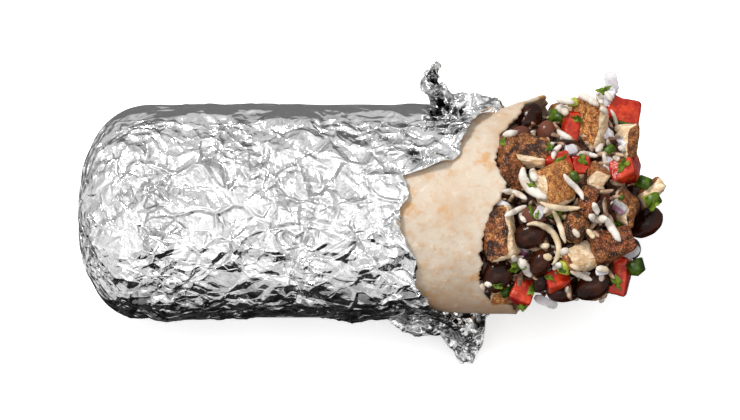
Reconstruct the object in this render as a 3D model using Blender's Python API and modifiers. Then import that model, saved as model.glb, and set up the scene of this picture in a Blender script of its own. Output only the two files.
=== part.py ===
"""A foil-wrapped burrito lying on its side, its open end showing the heaped filling.

The roll lies along X with the open end at +X, and stands on z = 0. Units are metres.
Angles go round the roll in degrees: 0 faces +Y, 90 the top, 180 -Y and 270 the base.
"""

import math
import random

import bmesh
import bpy
from mathutils import Euler, Matrix, Vector, noise
from mathutils.bvhtree import BVHTree

MM = 0.001

# Driving sizes
ROLL_WIDTH = 77.0 * MM
ROLL_HEIGHT = 62.0 * MM
CLOSED_END = -102.0 * MM
END_ROUNDING = 24.5 * MM
HEAP_END = 95.5 * MM
BASE_FLAT = 1.6 * MM
FOIL_THICK = 0.8 * MM
TORTILLA_THICK = 2.2 * MM
GAP = 0.3 * MM
OPEN_SIDE_PITCH = 62.0

HALF_WIDTH = ROLL_WIDTH / 2
HALF_HEIGHT = ROLL_HEIGHT / 2
AXIS_HEIGHT = HALF_HEIGHT - BASE_FLAT
TORTILLA_INSET = FOIL_THICK + GAP
FILLING_INSET = TORTILLA_INSET + TORTILLA_THICK + GAP

# The closed end is a superellipse: these powers square its shoulders
SHOULDER_ALONG = 2.3
SHOULDER_ROUND = 2.2

LAYER_SEGMENTS = 36
FILLING_SEGMENTS = 26
END_ROWS = 5
FOIL_ROWS = 13
TORTILLA_ROWS = 7
MERGE = 0.01 * MM

# The foil's creases: their greatest depth, then the size and share of the broad and the fine ones
CREASE_DEPTH = 1.3 * MM
BROAD_CREASE = 11 * MM
BROAD_SHARE = 0.9
FINE_CREASE = 5 * MM
FINE_SHARE = 0.6
FINE_SHIFT = Vector((7.0, 3.0, 1.0))

# How far each layer reaches along X, in mm, at angles round the roll
FOIL_REACH = [
    (23, 50), (45, 41), (60, 35), (76, 31), (85, 28), (89, 21), (94, 12), (104, 13), (112, 9),
    (123, 10.5), (138, 14), (148, 16), (154, 14.5), (161, 17), (179, 24), (203, 34), (235, 44),
    (275, 40), (315, 46), (350, 52),
]
TORTILLA_REACH = [
    (8, 60), (23, 55), (51, 50), (62, 45), (84, 42), (92, 44), (100, 45.5), (109, 42), (118, 39),
    (130, 37), (150, 36), (166, 38.5), (173, 41), (178, 49), (205, 55), (250, 60), (300, 62), (345, 63),
]
# How far the layers' open edges stand away from the roll, in mm
FOIL_FLARE = [(0, 3), (25, 4), (60, 1.5), (90, 1), (140, 1), (165, 2), (200, 3), (270, 0), (320, 2)]
TORTILLA_FLARE = [(0, 4), (30, 1), (60, 0), (250, 0), (320, 2)]
FLARE_RUN = 11.0 * MM

# The foil's crumpled lower flap: its depth in mm against the place along X
FLAP_DEPTH = [(3, 1.5), (7, 6), (15, 10), (24, 10.5), (28.5, 16), (31, 21), (35.5, 21), (38, 16), (40, 6)]
FLAP_ROOT_ANGLE = 203.0
FLAP_TOE = Vector((0.0, -0.50, -0.84))
FLAP_OUT = Vector((0.0, -0.84, 0.50))
FLAP_ROWS = 4
FLAP_COLUMNS = 14
FLAP_STAND_OFF = 1.0 * MM
FLAP_RIPPLE = 2.4 * MM
FLAP_RIPPLE_SIZE = 7 * MM
FLAP_CLEARANCE = 0.2 * MM
# The foil's twisted peak on the far side
PEAK_ANGLE = 33.0
PEAK_ALONG = 23.0 * MM
PEAK_HEIGHT = 16.0 * MM
PEAK_RADIUS = 6.5 * MM
PEAK_TIP_RADIUS = 0.9 * MM
PEAK_SQUASH = 0.5
PEAK_LEAN = -0.12
PEAK_FOOT = 0.5 * MM
PEAK_SIDES = 8

HEAP_SWELL = 3.0 * MM
HEAP_SAG = 2.2 * MM
HEAP_ROUNDING = 17.0 * MM
HEAP_FULLNESS = 0.8
HEAP_LUMP = 2.2 * MM
HEAP_LUMP_SIZE = 9 * MM
RIM_FADE = (4 * MM, 12 * MM)
HEAP_ROWS = (34, 42, 49, 55, 61, 67, 73)
HEAP_END_ROWS = 5
SEAT_GAP = 0.35 * MM

# Larger pieces of the filling: kind, place along and up the side they face, length, width and
# thickness, how far they stand proud of the heap, all in mm, then in degrees their turn in that
# side's plane and how far their top leans along it and up it
OPEN_SIDE_PIECES = [
    ("chicken", 48.5, 13.0, 16, 8, 8, 1.5, 78, 12, 0),
    ("chicken", 57.0, 20.0, 11.5, 8.5, 8, 3.5, -18, -8, 24),
    ("chicken", 76.5, 29.5, 16, 9.5, 9, 3.0, 80, -30, 0),
    ("chicken", 88.5, 24.0, 11.5, 7, 7.5, 3.0, 88, 28, 0),
    ("chicken", 63.0, 5.0, 12, 10, 8, 4.0, 12, 26, 8),
    ("chicken", 47.0, -7.5, 18, 10, 8.5, 3.5, 100, -27, 4),
    ("chicken", 79.5, 12.0, 9.5, 7, 7, 2.5, 60, 0, -15),
    ("chicken", 75.0, 2.5, 9.5, 6, 7, 2.5, 75, -10, 0),
    ("chicken", 70.5, -6.5, 10.5, 8, 8, 3.0, 70, -12, 12),
    ("chicken", 72.0, -17.0, 12, 9.5, 9, 4.0, 25, 20, 22),
    ("chicken", 90.5, 3.5, 9.5, 7, 7, 2.5, -30, -15, -10),
    ("chicken", 93.5, 10.5, 9.5, 7, 7, 6.5, 40, 0, 15),
    ("chicken", 85.5, -11.0, 14.5, 11, 8, 3.5, 18, 8, 20),
    ("chicken", 45.5, -29.0, 8, 5, 5, 1.5, 10, 0, 0),
    ("tomato", 88.5, 35.0, 11, 8.5, 7, 3.0, -15, 18, 22),
    ("tomato", 67.0, 29.5, 10.5, 6, 6, 2.5, 80, 8, 0),
    ("tomato", 67.5, 18.5, 8, 6, 5.5, 3.5, 15, 0, -18),
    ("tomato", 74.5, 19.0, 6.5, 5, 5, 2.5, 5, 0, 10),
    ("tomato", 86.5, 14.0, 9, 7.5, 6, 3.0, 20, -18, 18),
    ("tomato", 52.5, -28.0, 10, 8.5, 7, 2.5, 62, 14, 14),
    ("tomato", 65.0, -24.0, 8, 6.5, 6, 2.0, 20, 0, 20),
    ("tomato", 87.5, -25.0, 11, 7.5, 7, 2.5, 80, -14, 10),
    ("bean", 57.5, 32.0, 10.5, 6.5, 6, 1.5, 50, 0, 0),
    ("bean", 61.0, 27.5, 8, 5.5, 5.5, 1.5, 75, 0, 0),
    ("bean", 82.5, 2.5, 8.5, 7, 6, 2.5, 30, 0, 0),
    ("bean", 57.0, -8.5, 10, 7.5, 6.5, 2.5, 30, 0, 0),
    ("bean", 46.5, -22.5, 10.5, 8, 7, 2.5, 70, 0, 0),
    ("bean", 40.5, -18.5, 8.5, 5, 5.5, 0.5, 90, 0, 0),
    ("bean", 58.5, -18.0, 9, 7, 6.5, 2.5, 70, 0, 0),
    ("bean", 59.5, -26.5, 7.5, 6, 6, 2.0, 80, 0, 0),
    ("bean", 68.0, -30.0, 11, 6.5, 6.5, 2.0, 8, 0, 0),
    ("bean", 77.5, -26.5, 13, 9, 7.5, 3.5, 35, 0, 0),
    ("bean", 95.5, -4.0, 13, 9, 7.5, 4.5, 38, 0, 0),
    ("bean", 59.5, 0.0, 8, 6.5, 6, 2.0, -30, 0, 0),
    ("bean", 51.5, 27.0, 7, 5, 5, 1.5, 0, 0, 0),
]
END_SIDE_PIECES = [
    ("chicken", 5.5, -3.0, 13, 11, 9, 2.5, 20, 15, 10),
    ("chicken", 21.0, 1.0, 13, 10, 9, 2.5, 70, -10, 12),
    ("chicken", -13.0, -14.0, 12, 9, 9, 2.5, -25, 12, 0),
    ("tomato", 2.0, -15.0, 10, 9, 8, 2.5, 10, 10, 15),
    ("tomato", 12.0, 10.0, 9, 8, 7, 2.0, -20, 0, 15),
    ("bean", 15.0, -12.0, 12, 8.5, 7, 3.0, 30, 0, 0),
    ("bean", -9.0, -4.0, 11.5, 8, 7, 2.5, -40, 0, 0),
    ("bean", -1.0, 9.0, 11.5, 8, 7, 2.0, 5, 0, 0),
]
FAR_SIDE_PIECES = [
    ("chicken", -73.0, 4.0, 15, 11, 10, 3.0, 15, 10, 15),
    ("tomato", -83.0, -8.0, 11, 9, 8, 2.5, 30, -10, 10),
    ("bean", -71.0, -10.0, 12, 8.5, 7, 2.5, -30, 0, 0),
    ("bean", -85.0, 6.0, 12, 8, 7, 2.5, 60, 0, 0),
    ("chicken", -76.0, -19.0, 13, 9, 8, 2.0, -10, 0, 12),
]
EDGE_ROUNDING = {"chicken": 0.16, "tomato": 0.09}
CORNER_DRIFT = {"chicken": 0.17, "tomato": 0.08}
BEAN_TAPER = 0.16
BEAN_SEAT_GROWTH = 1.2
NUDGE = 0.8 * MM
NUDGE_STEPS = 7
LIFT_STEPS = 4
NUDGE_REACHES = (1.7 * MM, 3.3 * MM, 5.7 * MM)
SHRINKS = (1.0, 0.92, 0.84, 0.76, 0.68)
# How far from the heap's axis a piece starts to drop, and half a box's diagonal as a share of its
# longest side
DROP_FROM = 0.2
HALF_DIAGONAL = 0.87
DICE_SEED = 41

COLOURS = {
    "foil": ((0.80, 0.80, 0.80), 0.25, 1.0),
    "tortilla": ((0.76, 0.62, 0.44), 0.7, 0.0),
    "filling": ((0.40, 0.16, 0.06), 0.6, 0.0),
    "chicken": ((0.45, 0.19, 0.07), 0.45, 0.0),
    "tomato": ((0.60, 0.04, 0.015), 0.25, 0.0),
    "bean": ((0.035, 0.010, 0.005), 0.25, 0.0),
}


def clear_scene():
    for old in list(bpy.data.objects):
        bpy.data.objects.remove(old, do_unlink=True)


def make_collection(name):
    collection = bpy.data.collections.new(name)
    bpy.context.scene.collection.children.link(collection)
    return collection


def make_material(name):
    colour, roughness, metallic = COLOURS[name]
    material = bpy.data.materials.new(name)
    material.use_nodes = True
    shader = material.node_tree.nodes["Principled BSDF"]
    shader.inputs["Base Color"].default_value = (*colour, 1.0)
    shader.inputs["Roughness"].default_value = roughness
    shader.inputs["Metallic"].default_value = metallic
    return material


def smooth_step(value):
    value = min(max(value, 0.0), 1.0)
    return value * value * (3 - 2 * value)


def around(points, turn):
    """The value at an angle in radians, from (degrees, value) points that close on themselves."""
    degrees = math.degrees(turn) % 360
    first, last = points[0], points[-1]
    ring = [(last[0] - 360, last[1])] + points + [(first[0] + 360, first[1])]
    for (start, low), (end, high) in zip(ring, ring[1:]):
        if start <= degrees <= end:
            return low + (high - low) * (degrees - start) / (end - start)
    return last[1]


def along(points, place):
    """The value at a place, from (place, value) points, level past both ends."""
    for (start, low), (end, high) in zip(points, points[1:]):
        if place <= end:
            share = max(0.0, (place - start) / (end - start))
            return low + (high - low) * share
    return points[-1][1]


def section(turn, inset, fullness=1.0):
    """A point of the roll's cross-section, flat on its base, shrunk about the axis by fullness."""
    y = (HALF_WIDTH - inset) * math.cos(turn)
    z = max((HALF_HEIGHT - inset) * math.sin(turn), inset - AXIS_HEIGHT)
    return y * fullness, AXIS_HEIGHT + z * fullness


def outward(turn):
    """The roll's outward direction at an angle."""
    return Vector((0.0, math.cos(turn) / HALF_WIDTH, math.sin(turn) / HALF_HEIGHT)).normalized()


def closed_end(quarter, inset):
    """Place along X and fullness on the closed end, for a quarter turn from its pole to its shoulder."""
    x = CLOSED_END + END_ROUNDING - (END_ROUNDING - inset) * math.cos(quarter) ** (2 / SHOULDER_ALONG)
    return x, math.sin(quarter) ** (2 / SHOULDER_ROUND)


def crumple(point, depth):
    """How far creased foil stands out at a point, never inward."""
    broad = abs(noise.noise(point / BROAD_CREASE))
    fine = abs(noise.noise(point / FINE_CREASE + FINE_SHIFT))
    return depth * (BROAD_SHARE * broad + FINE_SHARE * fine)


def on_base(turn):
    """1 where the roll is flat on the table, fading to 0 up its sides."""
    return smooth_step((-math.sin(turn) - 0.80) / 0.12)


def mesh_object(bm, name, material, collection):
    bmesh.ops.recalc_face_normals(bm, faces=bm.faces)
    mesh = bpy.data.meshes.new(name)
    bm.to_mesh(mesh)
    bm.free()
    mesh.materials.append(material)
    piece = bpy.data.objects.new(name, mesh)
    collection.objects.link(piece)
    return piece


def tube_sheet(rows, segments, place):
    """A grid rolled into a tube: place(row, turn) gives each point, and rows at a pole merge."""
    bm = bmesh.new()
    spans = len(rows) - 1
    bmesh.ops.create_grid(bm, x_segments=segments, y_segments=spans, size=0.5)
    for vert in bm.verts:
        turn = (vert.co.x + 0.5) * math.tau
        row = rows[round((vert.co.y + 0.5) * spans)]
        vert.co = place(row, turn)
    bmesh.ops.remove_doubles(bm, verts=bm.verts, dist=MERGE)
    return bm


def solidify(piece, thickness):
    """Thickens an open sheet inward; its normals must point out."""
    modifier = piece.modifiers.new("thickness", "SOLIDIFY")
    modifier.thickness = thickness
    modifier.offset = -1.0
    modifier.use_even_offset = True


def face_outward(piece):
    """Turns a sheet's normals away from the roll's axis where they were found inside out."""
    mesh = piece.data
    axis = Vector((0.0, 0.0, AXIS_HEIGHT))
    lean = sum(face.normal.dot((face.center - axis) * Vector((0, 1, 1))) for face in mesh.polygons)
    if lean < 0:
        mesh.flip_normals()


def layer_rows(spans):
    """Rows of a layer: quarter turns of its closed end, then shares of its run to the open edge."""
    end = [("end", math.radians(90) * i / END_ROWS) for i in range(END_ROWS + 1)]
    return end + [("run", (i + 1) / spans) for i in range(spans)]


def layer_point(row, turn, inset, reach, flare, creases):
    """A point of a layer that runs from the closed end to its own torn edge."""
    kind, value = row
    if kind == "end":
        x, fullness = closed_end(value, inset)
        edge = 0.0
    else:
        start = CLOSED_END + END_ROUNDING
        end = around(reach, turn) * MM
        x = start + (end - start) * value
        fullness = 1.0
        edge = smooth_step(1 - (end - x) / FLARE_RUN) * around(flare, turn) * MM
    point = Vector((x, *section(turn, inset, fullness)))
    lift = edge + crumple(point, creases) * fullness
    return point + outward(turn) * (lift * (1 - on_base(turn)))


def make_foil_body(material, collection):
    rows = layer_rows(FOIL_ROWS)
    bm = tube_sheet(
        rows,
        LAYER_SEGMENTS,
        lambda row, turn: layer_point(row, turn, 0.0, FOIL_REACH, FOIL_FLARE, CREASE_DEPTH),
    )
    foil = mesh_object(bm, "foil_wrap", material, collection)
    face_outward(foil)
    solidify(foil, FOIL_THICK)
    return foil


def make_foil_flap(material, collection):
    """The crumpled flap that hangs from the foil's lower edge towards the table."""
    bm = bmesh.new()
    bmesh.ops.create_grid(bm, x_segments=FLAP_COLUMNS, y_segments=FLAP_ROWS, size=0.5)
    first, last = FLAP_DEPTH[0][0], FLAP_DEPTH[-1][0]
    y, z = section(math.radians(FLAP_ROOT_ANGLE), FOIL_THICK / 2)
    for vert in bm.verts:
        place = first + (last - first) * (vert.co.x + 0.5)
        down = vert.co.y + 0.5
        root = Vector((place * MM, y, z))
        point = root + FLAP_TOE * (along(FLAP_DEPTH, place) * down * MM)
        ripple = FLAP_RIPPLE * noise.noise(point / FLAP_RIPPLE_SIZE)
        point += FLAP_OUT * ((ripple + FLAP_STAND_OFF) * down)
        point.z = max(point.z, FOIL_THICK + FLAP_CLEARANCE)
        vert.co = point
    flap = mesh_object(bm, "foil_flap", material, collection)
    thickness = flap.modifiers.new("thickness", "SOLIDIFY")
    thickness.thickness = FOIL_THICK
    thickness.offset = 0.0
    return flap


def make_foil_peak(material, collection):
    """The squashed, leaning cone of foil that stands up on the far side, its foot in the foil."""
    bm = bmesh.new()
    height = PEAK_HEIGHT + PEAK_FOOT
    bmesh.ops.create_cone(
        bm,
        cap_ends=True,
        segments=PEAK_SIDES,
        radius1=PEAK_RADIUS,
        radius2=PEAK_TIP_RADIUS,
        depth=height,
    )
    for vert in bm.verts:
        vert.co.z += height / 2 - PEAK_FOOT
        vert.co.x += PEAK_LEAN * max(vert.co.z, 0.0)
        vert.co.y *= PEAK_SQUASH
    peak = mesh_object(bm, "foil_peak", material, collection)
    turn = math.radians(PEAK_ANGLE)
    peak.location = (PEAK_ALONG, *section(turn, 0.0))
    peak.rotation_euler = (math.asin(-outward(turn).y), 0.0, 0.0)
    return peak


def join_to(target, addition, name):
    modifier = target.modifiers.new(name, "BOOLEAN")
    modifier.operation = "UNION"
    modifier.object = addition
    addition.hide_render = True
    addition.display_type = "WIRE"


def make_foil(material, parts, cutters):
    foil = make_foil_body(material, parts)
    join_to(foil, make_foil_flap(material, cutters), "lower flap")
    join_to(foil, make_foil_peak(material, cutters), "twisted peak")
    return foil


def make_tortilla(material, collection):
    rows = layer_rows(TORTILLA_ROWS)
    bm = tube_sheet(
        rows,
        LAYER_SEGMENTS,
        lambda row, turn: layer_point(row, turn, TORTILLA_INSET, TORTILLA_REACH, TORTILLA_FLARE, 0.0),
    )
    tortilla = mesh_object(bm, "tortilla", material, collection)
    face_outward(tortilla)
    solidify(tortilla, TORTILLA_THICK)
    return tortilla


def filling_rows():
    """Rows of the filling: its closed end, its run to the opening, and the heap's rounded end."""
    start = HEAP_END - HEAP_ROUNDING
    closed = [("end", math.radians(90) * i / END_ROWS) for i in range(END_ROWS + 1)]
    heap = [("heap", place * MM) for place in HEAP_ROWS]
    steps = [math.radians(90) * i / HEAP_END_ROWS for i in range(HEAP_END_ROWS + 1)]
    return closed + heap + [("round", (start, step)) for step in steps]


def filling_point(row, turn):
    """A point of the filling: inside the tortilla, then swelling past its rim."""
    kind, value = row
    if kind == "end":
        x, fullness = closed_end(value, FILLING_INSET)
    elif kind == "heap":
        x, fullness = value, 1.0
    else:
        start, step = value
        x = start + HEAP_ROUNDING * math.sin(step) ** HEAP_FULLNESS
        fullness = math.cos(step) ** HEAP_FULLNESS
    point = Vector((x, *section(turn, FILLING_INSET, fullness)))
    clear, fade = RIM_FADE
    past_rim = smooth_step((x - around(TORTILLA_REACH, turn) * MM - clear) / fade)
    lumps = HEAP_LUMP * noise.noise(point / HEAP_LUMP_SIZE)
    base = on_base(turn)
    swell = (1 - base) * (HEAP_SWELL + lumps) + base * HEAP_SAG
    return point + outward(turn) * (past_rim * fullness * swell)


def make_filling(material, collection):
    bm = tube_sheet(filling_rows(), FILLING_SEGMENTS, filling_point)
    return mesh_object(bm, "filling", material, collection)


def make_convex(bm):
    """Replaces the faces by the hull of the vertices."""
    bmesh.ops.delete(bm, geom=list(bm.edges), context="EDGES_FACES")
    hull = bmesh.ops.convex_hull(bm, input=bm.verts)
    inner = [item for item in hull["geom_interior"] if isinstance(item, bmesh.types.BMVert)]
    bmesh.ops.delete(bm, geom=inner, context="VERTS")


def dice(kind, size, rng):
    """A rough cut block with drifting corners and rounded edges, and the sharper block of its seat."""
    bm = bmesh.new()
    bmesh.ops.create_cube(bm, size=1.0)
    drift = CORNER_DRIFT[kind]
    for vert in bm.verts:
        vert.co += Vector([rng.uniform(-drift, drift) for _ in range(3)])
        vert.co *= size
    seat = bm.copy()
    bmesh.ops.bevel(
        bm, geom=list(bm.edges), offset=min(size) * EDGE_ROUNDING[kind], segments=1, affect="EDGES"
    )
    make_convex(bm)
    make_convex(seat)
    return bm, seat


def ellipsoid(size, subdivisions, radius):
    """A ball stretched to a size, a little fuller at one end."""
    bm = bmesh.new()
    bmesh.ops.create_icosphere(bm, subdivisions=subdivisions, radius=radius)
    for vert in bm.verts:
        full = 1 + BEAN_TAPER * vert.co.x
        vert.co = Vector((vert.co.x, vert.co.y * full, vert.co.z * full)) * size
    return bm


def bean(size):
    """A cooked bean, and the coarser ball of its seat."""
    return ellipsoid(size, 2, 0.5), ellipsoid(size, 1, 0.5 * BEAN_SEAT_GROWTH)


def side_frame(pitch, heading):
    """Axes of a side of the heap: along it, up it, and out of it, as a rotation matrix."""
    return Euler((math.radians(90 - pitch), 0.0, math.radians(heading))).to_matrix()


def landing(heap, side, place):
    """Where a piece dropped straight onto a side of the heap meets it, or passes nearest."""
    drop = side @ Vector((0.0, 0.0, -1.0))
    axis = Vector((0.0, 0.0, AXIS_HEIGHT))
    middle = axis + side @ Vector((*place, 0.0))
    hit = heap.ray_cast(middle - drop * DROP_FROM, drop)[0]
    return hit or heap.find_nearest(middle)[0]


def world_tree(mesh, matrix):
    points = [matrix @ vert.co for vert in mesh.vertices]
    return BVHTree.FromPolygons(points, [face.vertices[:] for face in mesh.polygons])


def inside(tree, point):
    """Whether a point is inside a convex piece."""
    nearest, normal = tree.find_nearest(point)[:2]
    return (point - nearest).dot(normal) < 0


def nudges():
    """Small moves along, up and out of a side of the heap, the shortest first."""
    flat = range(-NUDGE_STEPS, NUDGE_STEPS + 1)
    lifts = range(-1, LIFT_STEPS + 1)
    moves = [Vector((x, y, z)) * NUDGE for x in flat for y in flat for z in lifts]
    return sorted(moves, key=lambda move: move.length + abs(move.z))


def grown(size):
    """The scale that gives a piece of this size its clearance all round."""
    return Matrix.Diagonal([1 + 2 * SEAT_GAP / side for side in size]).to_4x4()


class Heap:
    """Lays the larger pieces on the filling, each clear of those laid before it."""

    def __init__(self, core, layers, materials, parts, cutters):
        self.core = core
        self.tree = world_tree(core.data, Matrix())
        self.layers = layers
        self.laid = []
        self.materials = materials
        self.parts = parts
        self.cutters = cutters
        self.count = dict.fromkeys(materials, 0)
        self.moves = nudges()
        self.rng = random.Random(DICE_SEED)

    def lay(self, kind, side, place, size, proud, angles):
        self.count[kind] += 1
        name = f"{kind}_{self.count[kind]:02d}"
        shape, seat = bean(size) if kind == "bean" else dice(kind, size, self.rng)
        piece = mesh_object(shape, name, self.materials[kind], self.parts)
        turn, lean_along, lean_up = (math.radians(angle) for angle in angles)
        lean = Matrix.Rotation(lean_along, 3, "Y") @ Matrix.Rotation(-lean_up, 3, "X")
        attitude = (side @ lean @ Matrix.Rotation(turn, 3, "Z")).to_4x4()
        drop = landing(self.tree, side, place) + side @ Vector((0.0, 0.0, proud - size.z / 2))
        matrix = self.settle(piece, drop, side, attitude @ grown(size))
        piece.matrix_world = Matrix.Translation(matrix.translation) @ attitude @ self.shrink(matrix, size)
        tree = world_tree(piece.data, piece.matrix_world)
        self.laid.append((tree, matrix.translation, size.length / 2))
        self.cut(mesh_object(seat, f"seat_{name}", self.materials["filling"], self.cutters), matrix)

    def shrink(self, matrix, size):
        """The scale left to a piece once its clearance is taken off a settled matrix."""
        scale = matrix.to_scale()
        return Matrix.Diagonal([s / (1 + 2 * SEAT_GAP / side) for s, side in zip(scale, size)]).to_4x4()

    def settle(self, piece, drop, side, attitude):
        """The clear matrix nearest to where a piece dropped, made smaller where nothing is clear."""
        for near, far in zip((0.0,) + NUDGE_REACHES, NUDGE_REACHES):
            moves = [move for move in self.moves if near <= move.length < far]
            for share in SHRINKS:
                for move in moves:
                    matrix = Matrix.Translation(drop + side @ move) @ attitude @ Matrix.Scale(share, 4)
                    if self.clear(piece, matrix):
                        return matrix
        raise ValueError(f"{piece.name} has no clear place")

    def clear(self, piece, matrix):
        tree = world_tree(piece.data, matrix)
        place = matrix.translation
        reach = max(matrix.to_scale()) * max(piece.dimensions) * HALF_DIAGONAL
        for other, middle, radius in self.laid:
            if (middle - place).length < reach + radius:
                if tree.overlap(other) or inside(other, place) or inside(tree, middle):
                    return False
        return not any(tree.overlap(layer) for layer in self.layers)

    def cut(self, seat, matrix):
        """Cuts a piece's seat out of the filling. The exact solver fails on some of the seats."""
        seat.matrix_world = matrix
        seat.hide_render = True
        seat.display_type = "WIRE"
        modifier = self.core.modifiers.new(seat.name, "BOOLEAN")
        modifier.operation = "DIFFERENCE"
        modifier.solver = "MANIFOLD"
        modifier.object = seat


def lay_pieces(heap):
    sides = [
        (OPEN_SIDE_PIECES, side_frame(OPEN_SIDE_PITCH, 0)),
        (END_SIDE_PIECES, side_frame(0, 90)),
        (FAR_SIDE_PIECES, side_frame(8, 180)),
    ]
    for pieces, side in sides:
        for kind, x, y, length, width, thick, proud, *angles in pieces:
            size = Vector((length, width, thick)) * MM
            heap.lay(kind, side, (x * MM, y * MM), size, proud * MM, angles)


def islands(bm):
    """The mesh's separate bodies, each a set of vertices."""
    left = set(bm.verts)
    found = []
    while left:
        body = set()
        edge = [left.pop()]
        while edge:
            vert = edge.pop()
            body.add(vert)
            near = {link.other_vert(vert) for link in vert.link_edges} & left
            left -= near
            edge.extend(near)
        found.append(body)
    return found


def settle_filling(filling):
    """Keeps the filling cut by all its seats as one body, without crumbs cut loose by them."""
    graph = bpy.context.evaluated_depsgraph_get()
    mesh = bpy.data.meshes.new_from_object(filling.evaluated_get(graph))
    filling.modifiers.clear()
    bm = bmesh.new()
    bm.from_mesh(mesh)
    bmesh.ops.remove_doubles(bm, verts=bm.verts, dist=MERGE)
    bodies = sorted(islands(bm), key=len)
    for crumb in bodies[:-1]:
        bmesh.ops.delete(bm, geom=list(crumb), context="VERTS")
    bmesh.ops.dissolve_limit(bm, angle_limit=math.radians(1), verts=bm.verts, edges=bm.edges)
    bm.to_mesh(mesh)
    bm.free()
    filling.data = mesh


def evaluated_corners(piece):
    graph = bpy.context.evaluated_depsgraph_get()
    shown = piece.evaluated_get(graph)
    return [shown.matrix_world @ Vector(corner) for corner in shown.bound_box]


def centre_on_base(parts, cutters, stand):
    """Parents everything to one empty and moves it so that the whole is centred on the origin."""
    bpy.context.view_layer.update()
    corners = [corner for piece in parts.objects for corner in evaluated_corners(piece)]
    spans = [(min(c[i] for c in corners), max(c[i] for c in corners)) for i in range(3)]
    for piece in list(parts.objects) + list(cutters.objects):
        piece.parent = stand
    middle = [(low + high) / 2 for low, high in spans]
    stand.location = (-middle[0], -middle[1], -spans[2][0])


def main():
    clear_scene()
    parts = make_collection("burrito")
    cutters = make_collection("cutters")
    materials = {name: make_material(name) for name in COLOURS}

    foil = make_foil(materials["foil"], parts, cutters)
    tortilla = make_tortilla(materials["tortilla"], parts)
    filling = make_filling(materials["filling"], parts)

    bpy.context.view_layer.update()
    graph = bpy.context.evaluated_depsgraph_get()
    layers = [world_tree(layer.evaluated_get(graph).data, Matrix()) for layer in (foil, tortilla)]
    heap = Heap(filling, layers, materials, parts, cutters)
    lay_pieces(heap)
    settle_filling(filling)

    stand = bpy.data.objects.new("burrito_base", None)
    bpy.context.scene.collection.objects.link(stand)
    centre_on_base(parts, cutters, stand)


main()
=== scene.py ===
"""The looks of a burrito in crumpled foil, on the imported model's frame. Units are metres.

The roll lies along X, its open end at +X. Angles go round the roll in degrees: 0 faces +Y,
90 the top, 180 -Y and 270 the base.
"""

import math

import bmesh
import bpy
import numpy as np
from mathutils import Matrix, Vector, noise
from mathutils.bvhtree import BVHTree
from mathutils.kdtree import KDTree


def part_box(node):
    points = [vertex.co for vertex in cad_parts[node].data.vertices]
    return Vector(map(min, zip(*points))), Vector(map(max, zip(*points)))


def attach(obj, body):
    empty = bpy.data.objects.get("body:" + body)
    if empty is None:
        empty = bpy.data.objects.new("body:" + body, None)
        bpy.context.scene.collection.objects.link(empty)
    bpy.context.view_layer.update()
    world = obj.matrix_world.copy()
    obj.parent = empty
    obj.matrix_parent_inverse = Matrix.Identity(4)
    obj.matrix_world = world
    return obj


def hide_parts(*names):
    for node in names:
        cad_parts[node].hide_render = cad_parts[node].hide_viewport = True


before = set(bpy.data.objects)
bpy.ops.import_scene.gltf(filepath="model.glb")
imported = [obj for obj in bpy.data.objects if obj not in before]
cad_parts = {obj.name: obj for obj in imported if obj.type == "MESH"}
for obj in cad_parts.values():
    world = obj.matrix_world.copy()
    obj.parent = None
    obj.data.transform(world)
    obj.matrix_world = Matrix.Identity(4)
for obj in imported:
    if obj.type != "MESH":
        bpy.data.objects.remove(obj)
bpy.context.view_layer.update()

MM = 0.001
MERGE = 0.01 * MM

# Sizes that the CAD model shares
ROLL_WIDTH = 77.0 * MM
ROLL_HEIGHT = 62.0 * MM
END_ROUNDING = 24.5 * MM
BASE_FLAT = 1.6 * MM
TORTILLA_INSET = 1.1 * MM
TORTILLA_THICK = 2.2 * MM
HALF_WIDTH = ROLL_WIDTH / 2
HALF_HEIGHT = ROLL_HEIGHT / 2
AXIS_HEIGHT = HALF_HEIGHT - BASE_FLAT
SHOULDER_ALONG = 2.3
SHOULDER_ROUND = 2.2

# The frame gives the roll's place: its closed end, and its axis from the tortilla's near side
CLOSED_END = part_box("foil_wrap")[0][0]
AXIS_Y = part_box("tortilla")[0][1] + HALF_WIDTH - TORTILLA_INSET
MIDDLE = CLOSED_END + 102.0 * MM
OPEN_SIDE_PITCH = math.radians(62)

# The open side, seen square on: places on it are (along, up) in mm from the roll's middle
RIGHT = Vector((1.0, 0.0, 0.0))
UP = Vector((0.0, math.sin(OPEN_SIDE_PITCH), math.cos(OPEN_SIDE_PITCH)))
OUT = Vector((0.0, -math.cos(OPEN_SIDE_PITCH), math.sin(OPEN_SIDE_PITCH)))
AXIS = Vector((MIDDLE, AXIS_Y, AXIS_HEIGHT))
VIEW_DISTANCE = 0.95
VIEW_WIDTH = 259 * MM
EYE = AXIS + VIEW_DISTANCE * OUT


def on_side(along, up, out=0.0):
    """A place along, up and out from the middle of the open side, in mm."""
    return AXIS + RIGHT * along * MM + UP * up * MM + OUT * out * MM


# How far each layer reaches along X from the middle, in mm, at angles round the roll
FOIL_REACH = [
    (10, 46), (23, 45), (45, 41), (60, 35), (76, 31), (85, 28), (89, 21), (94, 12), (104, 13), (112, 9),
    (123, 10.5), (138, 14), (148, 16), (154, 14.5), (161, 17), (179, 24), (203, 34), (235, 44),
    (275, 40), (315, 46), (350, 47),
]
TORTILLA_REACH = [
    (8, 62), (20, 61.5), (28, 58), (36, 53), (51, 50), (62, 45), (84, 42), (92, 44), (100, 45.5),
    (109, 42), (118, 39), (130, 37), (150, 36), (166, 38.5), (173, 41), (178, 48), (203, 50), (216, 51),
    (235, 55), (260, 59), (300, 62), (345, 63),
]
FOIL_FLARE = [(0, 2), (25, 2), (60, 1.5), (90, 1), (140, 1), (165, 2), (200, 3), (270, 0), (320, 2)]
TORTILLA_FLARE = [(0, 4), (22, 5), (34, 3), (50, 0.5), (60, 0), (250, 0), (320, 2)]
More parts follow.
